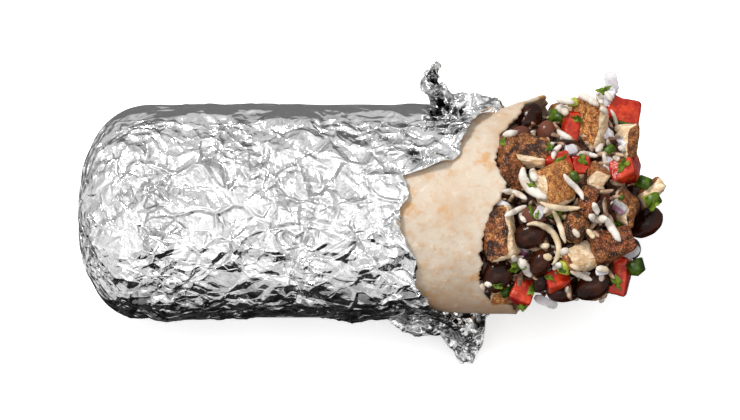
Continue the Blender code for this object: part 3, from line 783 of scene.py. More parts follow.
# How each chicken piece is seared: the way its seared side faces as (right, up, out) on the open
# side, how far round it the searing goes (1 is all over), its tone (1 is darkest) and its char.
# Then how far it lies from its CAD piece in mm, and how it is stretched, as (right, up, out)
CHICKEN_SEAR = [
    ((-0.2, 0.0, 1.0), 1.0, 0.8, 0.4, (-2.8, 1.5, 0), (1.25, 1.4, 1)),
    ((0.3, 0.75, 0.35), 0.5, 0.6, 0.8, (-6.0, 0.9, 0), (1.25, 1.5, 1)),
    ((-0.85, 0.25, 0.35), 0.48, 0.15, 0.1, (-1.3, -0.9, 0), (1.25, 1.18, 1)),
    ((0.85, -0.1, 0.4), 0.5, 0.65, 0.2, (-0.4, 0, 0), (0.92, 1, 1)),
    ((0.4, 0.55, 0.5), 0.5, 0.0, -0.6, (-0.7, 3.3, 0), (1, 1.35, 1)),
    ((-0.9, 0.2, 0.45), 0.52, 0.75, 0.9, (-4.0, 0.3, 0), (1.1, 1.05, 1)),
    ((0.0, 0.9, 0.1), 0.5, 0.5, 0.0, (-2.4, 0, 0), (0.85, 1, 1)),
    ((0.0, 0.2, 1.0), 0.95, 0.9, 0.3, (-1.3, 2.1, 0), (1, 1, 1)),
    ((0.2, 0.0, 1.0), 0.8, 0.6, 1.1, (-1.2, 2.4, 0), (1.1, 1.05, 1)),
    ((-0.7, -0.6, 0.1), 0.45, 0.3, 0.1, (-2.2, 2.1, 0), (1, 1.1, 1)),
    ((0.6, 0.0, 0.3), 0.45, 0.7, 0.2, (-4.3, -2.1, 0), (0.97, 1.3, 1)),
    ((-0.6, 0.7, 0.0), 0.35, 0.6, 0.1, (1.7, -4.9, 3), (0.95, 0.95, 1)),
    ((0.0, 0.3, 1.0), 1.0, 1.0, 0.0, (-5.0, -0.5, 0), (0.95, 0.95, 1)),
    ((0.0, -0.7, 0.3), 0.4, 0.1, 0.0, (-2.0, -3.5, 1), (1, 1, 1)),
    ((0.9, 0.3, 0.0), 0.7, 0.6, 0.4, (0, 0, 0), (1, 1, 1)),
    ((0.5, 0.8, 0.0), 0.5, 0.4, 0.1, (-4.0, 0, 0), (1, 1, 1)),
    ((0.8, -0.5, 0.2), 0.6, 0.5, 0.3, (-5, 0.5, 0), (1, 1, 1)),
    ((0.0, 0.9, -0.4), 0.7, 0.6, 0.3, (0, 0, 0), (1, 1, 1)),
    ((0.3, 0.4, -0.9), 0.6, 0.4, 0.2, (0, 0, 0), (1, 1, 1)),
]
TOMATO_LIE = {
    1: ((1, 1.5, 0), (1.15, 1.3, 1)), 2: ((1.9, -0.9, 0), (1, 1.1, 1)), 3: ((-5, -1.8, 0), (1.6, 1.5, 1)),
    4: ((-3.8, -4, 0), (1.25, 1.4, 1)), 5: ((-2.2, 0, 0), (1.15, 1.15, 1)), 6: ((-2.1, 0.9, 0), (1, 1.1, 1)),
    7: ((-1.8, 0.9, 0), (1, 1, 1)), 8: ((-3.2, 2.7, 1.5), (0.9, 1.15, 1)), 9: ((-4, 0, 0), (1, 1, 1)),
    10: ((-3, 0, 0), (1, 1, 1)),
}
BEAN_LIE = {
    1: ((-2.8, -0.6, 0), (1.2, 1.4, 1)), 3: ((-4.7, -0.4, 0), (1, 1, 1)),
    4: ((-4.3, 0.6, 0), (1.15, 1.15, 1)), 5: ((-3.6, 0.9, 0), (1.2, 1.2, 1)),
    6: ((-2, 0.6, 0), (1, 1.2, 1)), 7: ((-1.4, 0.6, 0), (1, 1, 1)),
    8: ((-1.4, 2.4, 0), (1.2, 1.3, 1)), 9: ((-2.3, 3.3, 0), (1.05, 1.05, 1)), 10: ((-1.3, 2.1, 0), (1, 1, 1)),
    11: ((0, 0, 6), (1, 1, 1)), 14: ((-3, 0, 0), (1, 1, 1)), 15: ((-3, 0, 0), (1, 1, 1)),
    16: ((-3, 0, 0), (1, 1, 1)),
}


AS_CAD = ((0, 0, 0), (1, 1, 1))

# How finely the pieces are meshed, in mm
CHUNK_VOXEL, BEAN_VOXEL, CORE_VOXEL = 0.42, 0.45, 0.85


def laid(points, shift, stretch):
    """Points stretched about their middle and shifted, as (right, up, out) on the open side."""
    axes = np.array([RIGHT, UP, OUT])
    middle = (points.min(0) + points.max(0)) / 2
    along = (points - middle) @ axes.T * np.array(stretch) + np.array(shift) * MM
    return middle + along @ axes


def make_chunk(kind, finish, number, voxel, smoothing, lie, material, relief):
    """A larger piece of the filling; relief(points, normals) gives its heights in mm and its values."""
    node = f"{kind}_{number:02d}"
    voxel = voxel * MM
    piece = fine_copy(node, f"{finish}_{node}", voxel, smoothing, material)
    points, normals = corners(piece.data)
    points = laid(points, *lie)
    heights, values = relief(points, normals)
    move_out(piece.data, points, normals, heights * MM)
    keep_values(piece.data, **values)
    rides(piece, kind, node)
    return piece


def make_chicken(number, material):
    (right, up, out), spread, tone, char, *lie = CHICKEN_SEAR[number - 1]
    way = np.array((RIGHT * right + UP * up + OUT * out).normalized())
    grain = np.array(Vector((0.8, 0.5, 0.3 * number)).normalized())

    def relief(points, normals):
        reached = (points - (points.min(0) + points.max(0)) / 2) @ way
        facing = normals @ way + 0.35 * reached / np.abs(reached).max()
        lumps, beads = (waves(points, size * MM, number) for size in (5, 1.7))
        sear = smooth_step((facing + 0.3 * lumps - (1.0 - 1.35 * spread)) / 0.22 + 0.5)
        fibres = waves(points - 0.75 * np.outer(points @ grain, grain), 1.4 * MM, number)
        heights = 0.45 * lumps + sear * 0.20 * beads + (1 - sear) * 0.30 * fibres
        return heights, {"sear": sear, "tone": tone, "char": char}

    return make_chunk("chicken", "seared", number, CHUNK_VOXEL, 2, lie, material, relief)


def make_tomato(number, material):
    cut = RIGHT * math.sin(number * 2.1) + UP * math.cos(number * 2.1) + OUT * 0.5
    cut = np.array(cut.normalized())

    def relief(points, normals):
        heights = 0.40 * waves(points, 5 * MM, number) + 0.12 * waves(points, 1.8 * MM, number)
        return heights, {"flesh": smooth_step((normals @ cut + 0.15) / 0.4)}

    lie = TOMATO_LIE.get(number, AS_CAD)
    return make_chunk("tomato", "diced", number, CHUNK_VOXEL, 5, lie, material, relief)


PALE_BEANS = {2: 0.6, 12: 0.6, 13: 0.5}


def make_bean(number, material):
    def relief(points, normals):
        heights = 0.45 + 0.22 * waves(points, 6 * MM, number) + 0.05 * waves(points, 1.6 * MM, number)
        return heights, {"tone": PALE_BEANS.get(number, 0.0)}

    lie = BEAN_LIE.get(number, AS_CAD)
    return make_chunk("bean", "cooked", number, BEAN_VOXEL, 14, lie, material, relief)


GRAIN_LENGTH = 6.6 * MM
GRAIN_WIDTH = 1.9 * MM
PRESSED_GRAINS, QUICK_PRESSED_GRAINS = 2400, 600
CORE_SINK, PRESSED_RISE, CORE_LUMPS = 2.3, 1.3, 0.5


def make_core(material):
    """The heap under its loose pieces, a little smaller, with rice pressed into its surface."""
    voxel = CORE_VOXEL * MM
    piece = fine_copy("filling", "rice_and_beans", voxel, 1, material)
    points, normals = corners(piece.data)
    open_part = smooth_step((points[:, 0] - MIDDLE - 30 * MM) / (4 * MM))
    rng = np.random.default_rng(21)
    count = PRESSED_GRAINS
    seeds = rng.choice(np.flatnonzero(open_part > 0.1), count)
    tree = KDTree(len(seeds))
    for index, corner in enumerate(seeds):
        tree.insert(points[corner], index)
    tree.balance()
    ways = rng.normal(size=(len(seeds), 3))
    ways -= (ways * normals[seeds]).sum(1)[:, None] * normals[seeds]
    ways /= np.linalg.norm(ways, axis=1)[:, None]
    tops = rng.uniform(0.4, 1.0, len(seeds))
    relief = np.zeros(len(points))
    for index in np.flatnonzero(open_part > 0):
        for _, near, _ in tree.find_n(points[index], 5):
            gap = points[index] - points[seeds[near]]
            along = gap @ ways[near]
            across = np.sqrt(max(gap @ gap - along**2, 0))
            inside = 1 - (along / (GRAIN_LENGTH / 2)) ** 2 - (across / (GRAIN_WIDTH / 2)) ** 2
            if inside > 0:
                relief[index] = max(relief[index], math.sqrt(inside) * tops[near])
    along, up = ((points - np.array(AXIS)) @ np.array(axis) / MM for axis in (RIGHT, UP))
    foot = smooth_step((-26 - up) / 8) * open_part
    end = smooth_step((along - 80) / 10) * smooth_step((24 - up) / 12)
    points = points + np.outer(foot, UP * 5.0 * MM) - np.outer(end, RIGHT * 6.0 * MM)
    lumps = CORE_LUMPS * waves(points, 7 * MM)
    heights = open_part * (-CORE_SINK + PRESSED_RISE * relief + lumps) * MM
    move_out(piece.data, points, normals, heights)
    keep_values(piece.data, strew=open_part)
    rides(piece, "filling", "filling")
    return piece


# ---------------------------------------------------------------- small things


class Pieces:
    """Gathers small shapes of one kind into a single mesh; each point carries a skin value."""

    def __init__(self):
        self.points, self.faces, self.skin = [], [], []

    def add(self, points, faces, skin=None):
        start = len(self.points)
        self.points += [tuple(p) for p in points]
        self.faces += [tuple(start + i for i in face) for face in faces]
        self.skin += list(skin) if skin is not None else [0.0] * len(points)

    def finish(self, name, material=None, slot=None):
        """The gathered mesh as a piece, with its faces outward and its poles closed."""
        mesh = bpy.data.meshes.new(name)
        mesh.from_pydata(self.points, [], self.faces)
        keep_values(mesh, skin=np.array(self.skin))
        mend(mesh, MERGE / 10)
        piece = new_piece(name, mesh, material)
        if slot:
            rides(piece, slot)
        return piece


def tube(path, flats, widths, thicks, sides=10, squareness=1.0):
    """A closed rod's points and faces: along a path, flat to the given normals, square where low."""
    points, faces = [], []
    count = len(path)
    for index, centre in enumerate(path):
        ahead = (path[min(index + 1, count - 1)] - path[max(index - 1, 0)]).normalized()
        side = ahead.cross(flats[index]).normalized()
        lift = side.cross(ahead).normalized()
        for step in range(sides):
            spin = math.tau * step / sides
            x, y = (math.copysign(abs(v) ** squareness, v) for v in (math.cos(spin), math.sin(spin)))
            points.append(centre + side * x * widths[index] + lift * y * thicks[index])
    for index in range(count - 1):
        for step in range(sides):
            after = (step + 1) % sides
            a, b = index * sides, (index + 1) * sides
            faces.append((a + step, a + after, b + after, b + step))
    faces.append(tuple(range(sides))[::-1])
    faces.append(tuple(range((count - 1) * sides, count * sides)))
    return points, faces


class Sight:
    """Finds where things lie on the made pieces, as seen square to the open side."""

    def __init__(self, pieces):
        points, faces = [], []
        for piece in pieces:
            start = len(points)
            points += [v.co[:] for v in piece.data.vertices]
            faces += [tuple(start + i for i in p.vertices) for p in piece.data.polygons]
        self.tree = BVHTree.FromPolygons(points, faces)

    def look(self, along, up):
        """The way to a place on the open side, how far off it is and which way it faces."""
        way = (on_side(along, up) - EYE).normalized()
        _, normal, _, far = self.tree.ray_cast(EYE, way)
        return way, far, normal

    def settle(self, along, up, reach=1.5, facing=0.5):
        """The place and facing of a thing laid there, leaning towards whoever looks."""
        way, far, normal = self.look(along, up)
        steps = ((reach, 0), (-reach, 0), (0, reach), (0, -reach))
        around_it = [self.look(along + du, up + dv) for du, dv in steps]
        fars = [f for _, f, _ in around_it if f is not None]
        if far is None:
            far = min(fars) + 1.0 * MM if fars else self.nearest(along, up)
        normals = [n for _, _, n in around_it if n is not None] + ([normal] if normal else [])
        total = Vector(OUT) * 0.001
        for n in normals:
            total += n
        faces = (total.normalized() * (1 - facing) + OUT * facing).normalized()
        return EYE + way * far, faces

    def nearest(self, along, up):
        """How far off the made piece nearest to an empty place is."""
        for pull in range(1, 12):
            share = 1 - 0.03 * pull
            far = self.look(75 + (along - 75) * share, up * share)[1]
            if far is not None:
                return far + 1.0 * MM
        return (EYE - AXIS).length

    def drape(self, stroke, lift, count=14):
        """A path over the pieces through places on the open side, bridging their hollows."""
        spots = np.array(stroke, float)
        gaps = np.r_[0, np.cumsum(np.hypot(*np.diff(spots, axis=0).T))]
        at = np.linspace(0, gaps[-1], count)
        if len(stroke) > 2:
            knots = [np.polyfit(gaps, spots[:, i], min(len(stroke) - 1, 3)) for i in (0, 1)]
            line = np.stack([np.polyval(k, at) for k in knots], 1)
        else:
            line = np.stack([np.interp(at, gaps, spots[:, i]) for i in (0, 1)], 1)
        ways, fars = [], []
        for along, up in line:
            way, far, _ = self.look(along, up)
            ways.append(way)
            fars.append(far if far is not None else np.nan)
        fars = np.array(fars)
        if np.isnan(fars).all():
            fars[:] = self.nearest(*line[count // 2])
        fars[np.isnan(fars)] = np.nanmin(fars) + 1.0 * MM
        steps = np.arange(count)
        bridged = np.array([min(fars[max(i - 2, 0):i + 3]) for i in steps])
        smooth = np.array([bridged[max(i - 2, 0):i + 3].mean() for i in steps])
        limit = smooth.min() + 4.5 * MM
        smooth = np.minimum(smooth, limit)
        return [EYE + way * (far - lift) for way, far in zip(ways, smooth)]


# Long grains and shreds on the open side: places they pass through, then their widths in mm
RICE_STROKES = [
    ([(72.3, 40.8), (76, 39.5), (79.3, 37)], 2.6),
    ([(64.8, 36.8), (66.8, 35.8), (68.6, 33.8)], 3.0),
    ([(64.6, 39.0), (68.2, 38.8), (71, 38)], 2.6),
    ([(79.2, 41.5), (80.5, 38)], 2.6),
    ([(82, 42), (84, 38.5)], 2.2),
    ([(80, 36.4), (82.8, 34.6)], 2.0),
    ([(65, 28.6), (67.5, 26.6), (70.2, 25.4)], 2.2),
    ([(65, 24.8), (67.4, 26.2)], 1.9),
    ([(63.6, 18.2), (64.6, 21.5), (66.6, 23.2)], 1.9),
    ([(73, 20.8), (76, 20), (79.2, 19.3)], 1.9),
    ([(78.6, 20.8), (81.2, 23.6)], 2.2),
    ([(53.2, 15.5), (53.8, 10), (56.5, 7.2), (61.5, 5)], 3.4),
    ([(56, 15), (57.5, 10.5)], 2.8),
    ([(67.4, 13.2), (69.5, 10.2), (72.3, 7.6), (74, 4)], 2.1),
    ([(45.6, 7), (50, 6.6), (54.4, 4.2)], 2.2),
    ([(46.6, -1.6), (50.5, 0.2), (54.4, 2)], 2.0),
    ([(51.8, -0.6), (54, -3.8)], 1.9),
    ([(77.6, 3.2), (79.4, -1)], 2.2),
    ([(76, -1.2), (79, -2.6), (82.5, -2.2)], 2.9),
    ([(82, -2.2), (84.2, -6), (87, -10.4)], 2.7),
    ([(66, -14.6), (69, -13.2)], 2.4),
    ([(63.4, -20), (66.5, -18.2)], 2.2),
    ([(69.6, -20.8), (73.5, -22.4), (77.2, -24)], 2.1),
    ([(78.6, -19.8), (83, -20.6)], 2.4),
    ([(49.4, -15.4), (51, -18.5)], 2.2),
    ([(51.5, -16.5), (53.8, -19.5), (55.6, -23)], 3.2),
    ([(38, -23.8), (39.4, -27.6)], 1.9),
    ([(39.6, -25), (42, -26)], 1.8),
    ([(86.4, 22.8), (88.4, 21)], 1.9),
    ([(84.5, 19), (87, 18)], 2.0),
    ([(68.5, 37), (66.2, 34.6)], 2.2),
    ([(70.5, -6.2), (72.8, -9)], 1.9),
    ([(60.3, -0.5), (63, 2.4)], 1.8),
    ([(46, 26.8), (51, 27.8)], 2.3),
]
CHEESE_STROKES = [
    ([(59, 3.2), (64.5, 1.4), (73, 1.4)], 2.0),
    ([(63.4, 0.6), (65.8, -4.5), (67.8, -11)], 1.9),
    ([(54.4, -4.6), (59, -4.6), (63.5, -7.4), (65.4, -12), (63.2, -18.6)], 2.1),
    ([(58.6, -12), (62.5, -12)], 2.0),
    ([(75.4, -6.2), (78, -9.4)], 1.9),
    ([(60.4, -15.2), (63, -16.6)], 2.4),
    ([(69.5, -18.5), (73, -20.4)], 1.8),
]


def make_strands(sight, strokes, name, material, slot, seed):
    rng = np.random.default_rng(seed)
    pieces = Pieces()
    for stroke, width in strokes:
        half = width / 2 * MM
        count = 6 + 3 * len(stroke)
        path = sight.drape(stroke, half * 0.75, count)
        share = np.linspace(-1, 1, count)
        taper = (1 - np.abs(share) ** 3.5 * 0.7) * rng.uniform(0.94, 1.06, count)
        flat = taper * rng.uniform(0.6, 0.85)
        path = [spot + Vector(rng.normal(0, 0.05 * half, 3)) for spot in path]
        pieces.add(*tube(path, [OUT] * count, half * taper, half * flat))
    return pieces.finish(name, material, slot)


def facing_frame(faces, turn):
    """Axes of a thing that faces a way, turned on it from the right towards up, in degrees."""
    turn = math.radians(turn)
    ahead = RIGHT * math.cos(turn) + UP * math.sin(turn)
    across = faces.cross(ahead).normalized()
    ahead = across.cross(faces).normalized()
    return Matrix((ahead, across, faces)).transposed()


# Diced pepper: (along, up, length, width, thickness, turn, skin on its flat or its edge)
PEPPER_DICE = [
    (66.0, 32.4, 6.4, 4.4, 3.8, -22, 0.6), (71, 38, 3.4, 2.8, 2.4, 10, 0.0),
    (82.8, 21.2, 4.2, 2.4, 2.6, 35, 0.8), (70.6, 12, 4.0, 2.4, 2.4, -50, 0.9),
    (95.4, 9.6, 5.0, 4.0, 3.8, -25, 1.0), (98, 4.2, 5.2, 4.6, 2.6, 30, 0.2),
    (86.4, -5.2, 5.0, 3.0, 2.6, -25, 0.1), (67.8, -19.6, 3.8, 4.2, 3.2, -12, 0.05),
    (91.6, -19.6, 5.2, 4.6, 3.8, 20, 1.0), (87.5, 30.8, 8.4, 1.6, 1.4, -12, 0.5),
    (46.8, -27.8, 4.4, 3.2, 2.8, 20, 0.7), (56.5, 10.2, 7.4, 1.8, 1.2, -35, 0.7),
    (56, 0, 4.6, 1.2, 1.0, -75, 0.8), (87.4, 5, 2.6, 1.4, 1.4, 30, 0.5),
]


def make_pepper(sight, material):
    rng = np.random.default_rng(31)
    pieces = Pieces()
    for along, up, length, width, thick, turn, skin in PEPPER_DICE:
        place, faces = sight.settle(along, up, 1.5, 0.35)
        axes = facing_frame(faces, turn)
        bm = bmesh.new()
        bmesh.ops.create_cube(bm, size=1.0)
        for corner in bm.verts:
            corner.co += Vector(rng.uniform(-0.09, 0.09, 3))
            corner.co = Vector((corner.co.x * length, corner.co.y * width, corner.co.z * thick)) * MM
        bmesh.ops.bevel(bm, geom=list(bm.edges), offset=0.35 * MM, segments=3, affect="EDGES")
        bm.verts.ensure_lookup_table()
        centre = place + faces * thick * 0.28 * MM
        points = [centre + axes @ v.co for v in bm.verts]
        top = [smooth_step((v.co.z / (thick * MM) + skin * 1.4 - 0.55) / 0.12) for v in bm.verts]
        pieces.add(points, [[v.index for v in f.verts] for f in bm.faces], top)
        bm.free()
    return pieces.finish("pepper_dice", material, "filling")


# Onion: (along, up, length, width, thickness, turn, curl, skin)
ONION_SLICES = [
    (84, 45.0, 8.2, 4.6, 0.9, 100, 0.5, 0.0), (82.2, 40.4, 7.0, 6.0, 1.4, 60, 0.3, 0.0),
    (84.6, 26.4, 8.0, 1.8, 1.6, -68, 0.9, 1.0), (82.6, 26.6, 4.4, 3.6, 1.4, 50, 0.2, 0.1),
    (86.6, 22.4, 8.6, 5.6, 1.5, 62, 0.4, 0.0), (82.4, 16, 6.4, 3.4, 1.4, 75, 0.4, 0.1),
    (69.6, 20.8, 4.4, 3.8, 3.0, 20, 0.1, 0.0), (67.4, 22.8, 1.8, 1.5, 1.4, 30, 0.0, 0.9),
    (86.4, 1.8, 6.4, 3.6, 1.8, -35, 0.2, 0.6), (52.8, -13.4, 4.4, 3.6, 3.0, -40, 0.1, 0.7),
    (61, -31.6, 8.4, 3.0, 0.8, -22, 0.3, 0.0), (90.4, -14.8, 8.4, 3.6, 1.1, 38, 0.7, 0.0),
    (80.6, -21, 4.4, 2.6, 1.6, 10, 0.2, 0.0), (58.5, -0.5, 5.0, 3.0, 1.6, 60, 0.3, 0.35),
    (74.6, -22.4, 4.8, 2.8, 1.4, -20, 0.2, 0.0), (46.4, 3.4, 6.2, 4.8, 2.6, 35, 0.2, 0.0),
]


def make_onion(sight, material):
    rng = np.random.default_rng(41)
    pieces = Pieces()
    steps, rings = 14, 16
    for along, up, length, width, thick, turn, curl, skin in ONION_SLICES:
        place, faces = sight.settle(along, up, 1.5, 0.4)
        axes = facing_frame(faces, turn)
        path, flats, widths, thicks = [], [], [], []
        rough = rng.uniform(0.88, 1.1, steps)
        for step in range(steps):
            share = step / (steps - 1) * 2 - 1
            bend = curl * share
            x = math.sin(bend) / curl * length / 2 if curl > 0.01 else share * length / 2
            z = (math.cos(bend) - 1) / curl * length / 2 if curl > 0.01 else 0.0
            path.append(place + axes @ (Vector((x, 0.3 * share**2 * width * 0.2, z + thick * 0.45)) * MM))
            flats.append(faces)
            end = (1 - abs(share) ** 6 * 0.55) * rough[step]
            widths.append(width / 2 * end * MM)
            thicks.append(thick / 2 * end * MM)
        points, faces_of = tube(path, flats, widths, thicks, rings, 0.4)
        edge = [skin * (1.0 if i % rings < 5 else 0.0) for i in range(len(points))]
        pieces.add(points, faces_of, edge)
    return pieces.finish("onion_slices", material, "filling")


# Coriander: (along, up, size, turn)
LEAVES = [
    (81.6, 42.4, 4.6, 20), (72.2, 32.2, 3.8, -20), (66.6, 18.2, 4.2, 30), (74, 17.8, 3.4, -60),
    (88.6, 16.6, 4.4, 45), (62, 23, 2.8, 90), (46.6, 24.8, 3.0, 80), (65.4, -1.2, 4.2, -10),
    (51.4, -19.2, 5.2, 25), (55.8, -27.2, 3.4, 80), (53.4, -33, 3.2, 20), (62.6, -23.4, 3.0, -20),
    (86, -25, 4.6, -65), (58, -1, 2.6, 70), (99, 2.6, 3.6, 60), (85.4, -4.4, 3.6, 110),
    (44.6, -25.8, 2.8, 10), (56.2, 9, 3.0, -30),
]


def make_leaves(sight, material):
    rng = np.random.default_rng(51)
    pieces = Pieces()
    spokes, rings = 40, 5
    for along, up, size, turn in LEAVES:
        place, faces = sight.settle(along, up, 1.2, 0.35)
        axes = facing_frame(faces, turn)
        lobe, narrow = rng.uniform(0, math.tau), rng.uniform(0.45, 0.85)
        points, skin, quads = [], [], []
        for side in (1, -1):
            for ring in range(rings + 1):
                for spoke in range(spokes):
                    spin = math.tau * spoke / spokes
                    edge = 1 + 0.24 * math.cos(3 * spin + lobe) + 0.16 * math.cos(5 * spin - 2 * lobe)
                    edge += 0.10 * math.cos(11 * spin + 3 * lobe) - 0.2 * math.cos(spin)
                    reach = size / 2 * edge * ring / rings
                    x, y = reach * math.cos(spin) * 1.15, reach * math.sin(spin) * narrow
                    fold = 0.2 * size * (ring / rings) * math.cos(2 * spin + lobe) + 0.25 * abs(y)
                    points.append(place + axes @ (Vector((x, y, fold + 0.45 + 0.10 * side)) * MM))
                    skin.append(max(0.0, 1 - abs(math.sin(1.5 * spin)) * 3.5) * ring / rings)
        sheet = (rings + 1) * spokes
        for side in (0, 1):
            for ring in range(rings):
                for spoke in range(spokes):
                    after = (spoke + 1) % spokes
                    a = side * sheet + ring * spokes
                    quads.append((a + spoke, a + after, a + spokes + after, a + spokes + spoke))
        for spoke in range(spokes):
            after = (spoke + 1) % spokes
            a = rings * spokes
            quads.append((a + spoke, a + after, sheet + a + after, sheet + a + spoke))
        pieces.add(points, quads, skin)
    return pieces.finish("coriander_leaves", material, "filling")


def grain_piece(name, segments, rings):
    """A grain of rice along X, slightly bent."""
    path, widths = [], []
    for ring in range(rings):
        share = ring / (rings - 1) * 2 - 1
        path.append(Vector((share * GRAIN_LENGTH / 2, 0.0, -0.10 * GRAIN_LENGTH * share**2)))
        widths.append(GRAIN_WIDTH / 2 * max(math.sqrt(1 - min(abs(share), 0.97) ** 2.6), 0.25))
    pieces = Pieces()
    pieces.add(*tube(path, [Vector((0, 0, 1))] * rings, widths, [w * 0.9 for w in widths], segments))
    return pieces.finish(name)


def strewing_tree(name):
    """Geometry Nodes that strew copies of a piece over the part of a surface marked strew."""
    group = bpy.data.node_groups.new(name, "GeometryNodeTree")
    group.interface.new_socket("Geometry", in_out="INPUT", socket_type="NodeSocketGeometry")
    group.interface.new_socket("Piece", in_out="INPUT", socket_type="NodeSocketObject")
    group.interface.new_socket("Material", in_out="INPUT", socket_type="NodeSocketMaterial")
    for socket, default in (("Spacing", 0.004), ("Lift", 0.0005), ("Tilt", 0.4)):
        item = group.interface.new_socket(socket, in_out="INPUT", socket_type="NodeSocketFloat")
        item.default_value = default
    group.interface.new_socket("Seed", in_out="INPUT", socket_type="NodeSocketInt")
    group.interface.new_socket("Geometry", in_out="OUTPUT", socket_type="NodeSocketGeometry")
    tree = Tree(group)
    given = tree.nodes.new("NodeGroupInput")
    value = {socket.name: Wire(tree, socket) for socket in given.outputs if socket.name}
    kind = {"data_type": "FLOAT"}
    marked = tree.add("GeometryNodeInputNamedAttribute", kind, {"Name": "strew"}, "Attribute")
    spread = tree.nodes.new("GeometryNodeDistributePointsOnFaces")
    spread.distribute_method = "POISSON"
    for socket, name in (("Mesh", "Geometry"), ("Distance Min", "Spacing"), ("Seed", "Seed")):
        tree.feed(spread.inputs[socket], value[name])
    tree.feed(spread.inputs["Selection"], tree.math("GREATER_THAN", marked, 0.5))
    spread.inputs["Density Max"].default_value = 400000.0
    points, normal, rotation = (Wire(tree, spread.outputs[n]) for n in ("Points", "Normal", "Rotation"))
    rise = tree.add("ShaderNodeVectorMath", {"operation": "SCALE"}, {0: normal, "Scale": value["Lift"]})
    raised = tree.add("GeometryNodeSetPosition", (), {"Geometry": points, "Offset": rise})
    tilt = value["Tilt"]
    low = tree.add("ShaderNodeCombineXYZ", (), {"X": 0.0 - tilt, "Y": 0.0 - tilt, "Z": 0.0})
    high = tree.add("ShaderNodeCombineXYZ", (), {"X": tilt, "Y": tilt, "Z": math.tau})
    kind = {"data_type": "FLOAT_VECTOR"}
    spin = tree.add("FunctionNodeRandomValue", kind, {0: low, 1: high, "Seed": value["Seed"]})
    turn = tree.add("FunctionNodeEulerToRotation", (), {"Euler": spin})
    sockets = {"Rotation": rotation, "Rotate By": turn}
    turned = tree.add("FunctionNodeRotateRotation", {"rotation_space": "LOCAL"}, sockets)
    sockets = {0: (0.75, 0.85, 0.8), 1: (1.15, 1.1, 1.1), "Seed": value["Seed"]}
    size = tree.add("FunctionNodeRandomValue", kind, sockets)
    shape = tree.add("GeometryNodeObjectInfo", (), {"Object": value["Piece"]}, "Geometry")
    sockets = {"Points": raised, "Instance": shape, "Rotation": turned, "Scale": size}
    copies = tree.add("GeometryNodeInstanceOnPoints", (), sockets)
    real = tree.add("GeometryNodeRealizeInstances", (), {"Geometry": copies})
    painted = tree.add("GeometryNodeSetMaterial", (), {"Geometry": real, "Material": value["Material"]})
    result = tree.nodes.new("NodeGroupOutput")
    tree.feed(result.inputs["Geometry"], painted)
    return group


def strew(group, surface, grain, name, material, spacing, lift, tilt, seed):
    """Strews grains over a surface as one plain mesh."""
    piece = new_piece(name, surface.data.copy())
    modifier = piece.modifiers.new("strew", "NODES")
    modifier.node_group = group
    values = {"Piece": grain, "Material": material, "Spacing": spacing, "Lift": lift, "Tilt": tilt}
    values["Seed"] = seed
    for item in group.interface.items_tree:
        if item.in_out == "INPUT" and item.name in values:
            modifier[item.identifier] = values[item.name]
    piece.data = settled_mesh(piece)
    piece.data.shade_smooth()
    rides(piece, "filling")
    return piece


# ---------------------------------------------------------------- the foil's loose ends


def crumpled_sheet(name, rows, material, crumple, thick, seed):
    """A closed crumpled sheet from rows of front points.

    crumple and thick give the depth of its folds and its body, in mm, at shares down and along it.
    """
    rows = np.array(rows)
    across = np.gradient(rows, axis=1)
    down = np.gradient(rows, axis=0)
    normals = np.cross(across, down)
    normals /= np.linalg.norm(normals, axis=-1, keepdims=True) + 1e-12
    if (normals.reshape(-1, 3).mean(0) @ np.array(OUT)) < 0:
        normals = -normals
    flat = rows.reshape(-1, 3)
    folds = sharp_noise(flat, 9 * MM, seed) + 0.5 * sharp_noise(flat, 4.5 * MM, seed + 1)
    folds += 0.2 * sharp_noise(flat, 2.2 * MM, seed + 2)
    folds = folds.reshape(rows.shape[:2])
    height, width = rows.shape[:2]
    i, j = np.meshgrid(np.linspace(0, 1, height), np.linspace(0, 1, width), indexing="ij")
    body = thick(i, j) * MM
    edge = np.minimum(np.minimum(i, 1 - i) * height, np.minimum(j, 1 - j) * width)
    body = body * smooth_step(edge / 3) + 0.06 * MM
    bent = rows + normals * (crumple(i, j) * MM * folds)[..., None]
    front = bent + normals * body[..., None]
    back = bent - normals * body[..., None]
    points = np.concatenate([front.reshape(-1, 3), back.reshape(-1, 3)])
    points[:, 2] = np.maximum(points[:, 2], 0.05 * MM)
    index = np.arange(height * width).reshape(height, width)
    a, b, c, d = index[:-1, :-1], index[:-1, 1:], index[1:, 1:], index[1:, :-1]
    faces = np.stack([a, b, c, d], -1).reshape(-1, 4).tolist()
    faces += (np.stack([d, c, b, a], -1).reshape(-1, 4) + height * width).tolist()
    rim = np.r_[index[0, :], index[1:, -1], index[-1, -2::-1], index[-2:0:-1, 0]]
    for here, there in zip(rim, np.roll(rim, -1)):
        faces.append((int(there), int(here), int(here) + height * width, int(there) + height * width))
    mesh = bpy.data.meshes.new(name)
    mesh.from_pydata(points.tolist(), [], faces)
    mend(mesh)
    piece = new_piece(name, mesh, material)
    rides(piece, "foil")
    return piece


def sharp_noise(points, size, seed):
    """Noise from about -1 to 1 with sharp valleys and ridges, like foil that was crushed."""
    shift = Vector((seed * 3.7, seed * 1.3, seed * 2.1))
    values = np.array([noise.noise(Vector(p) / size + shift) for p in points])
    others = np.array([noise.noise(Vector(p) / size * 1.3 - shift) for p in points])
    return 2.2 * (np.abs(others) - np.abs(values))


def outline(points, at):
    places, values = zip(*points)
    return np.interp(at, places, values)


def side_rows(place, downs, alongs):
    """Rows of points on the open side; place(down, along) gives how far along, up and out each is."""
    return [[tuple(on_side(*place(down, along))) for along in alongs] for down in downs]


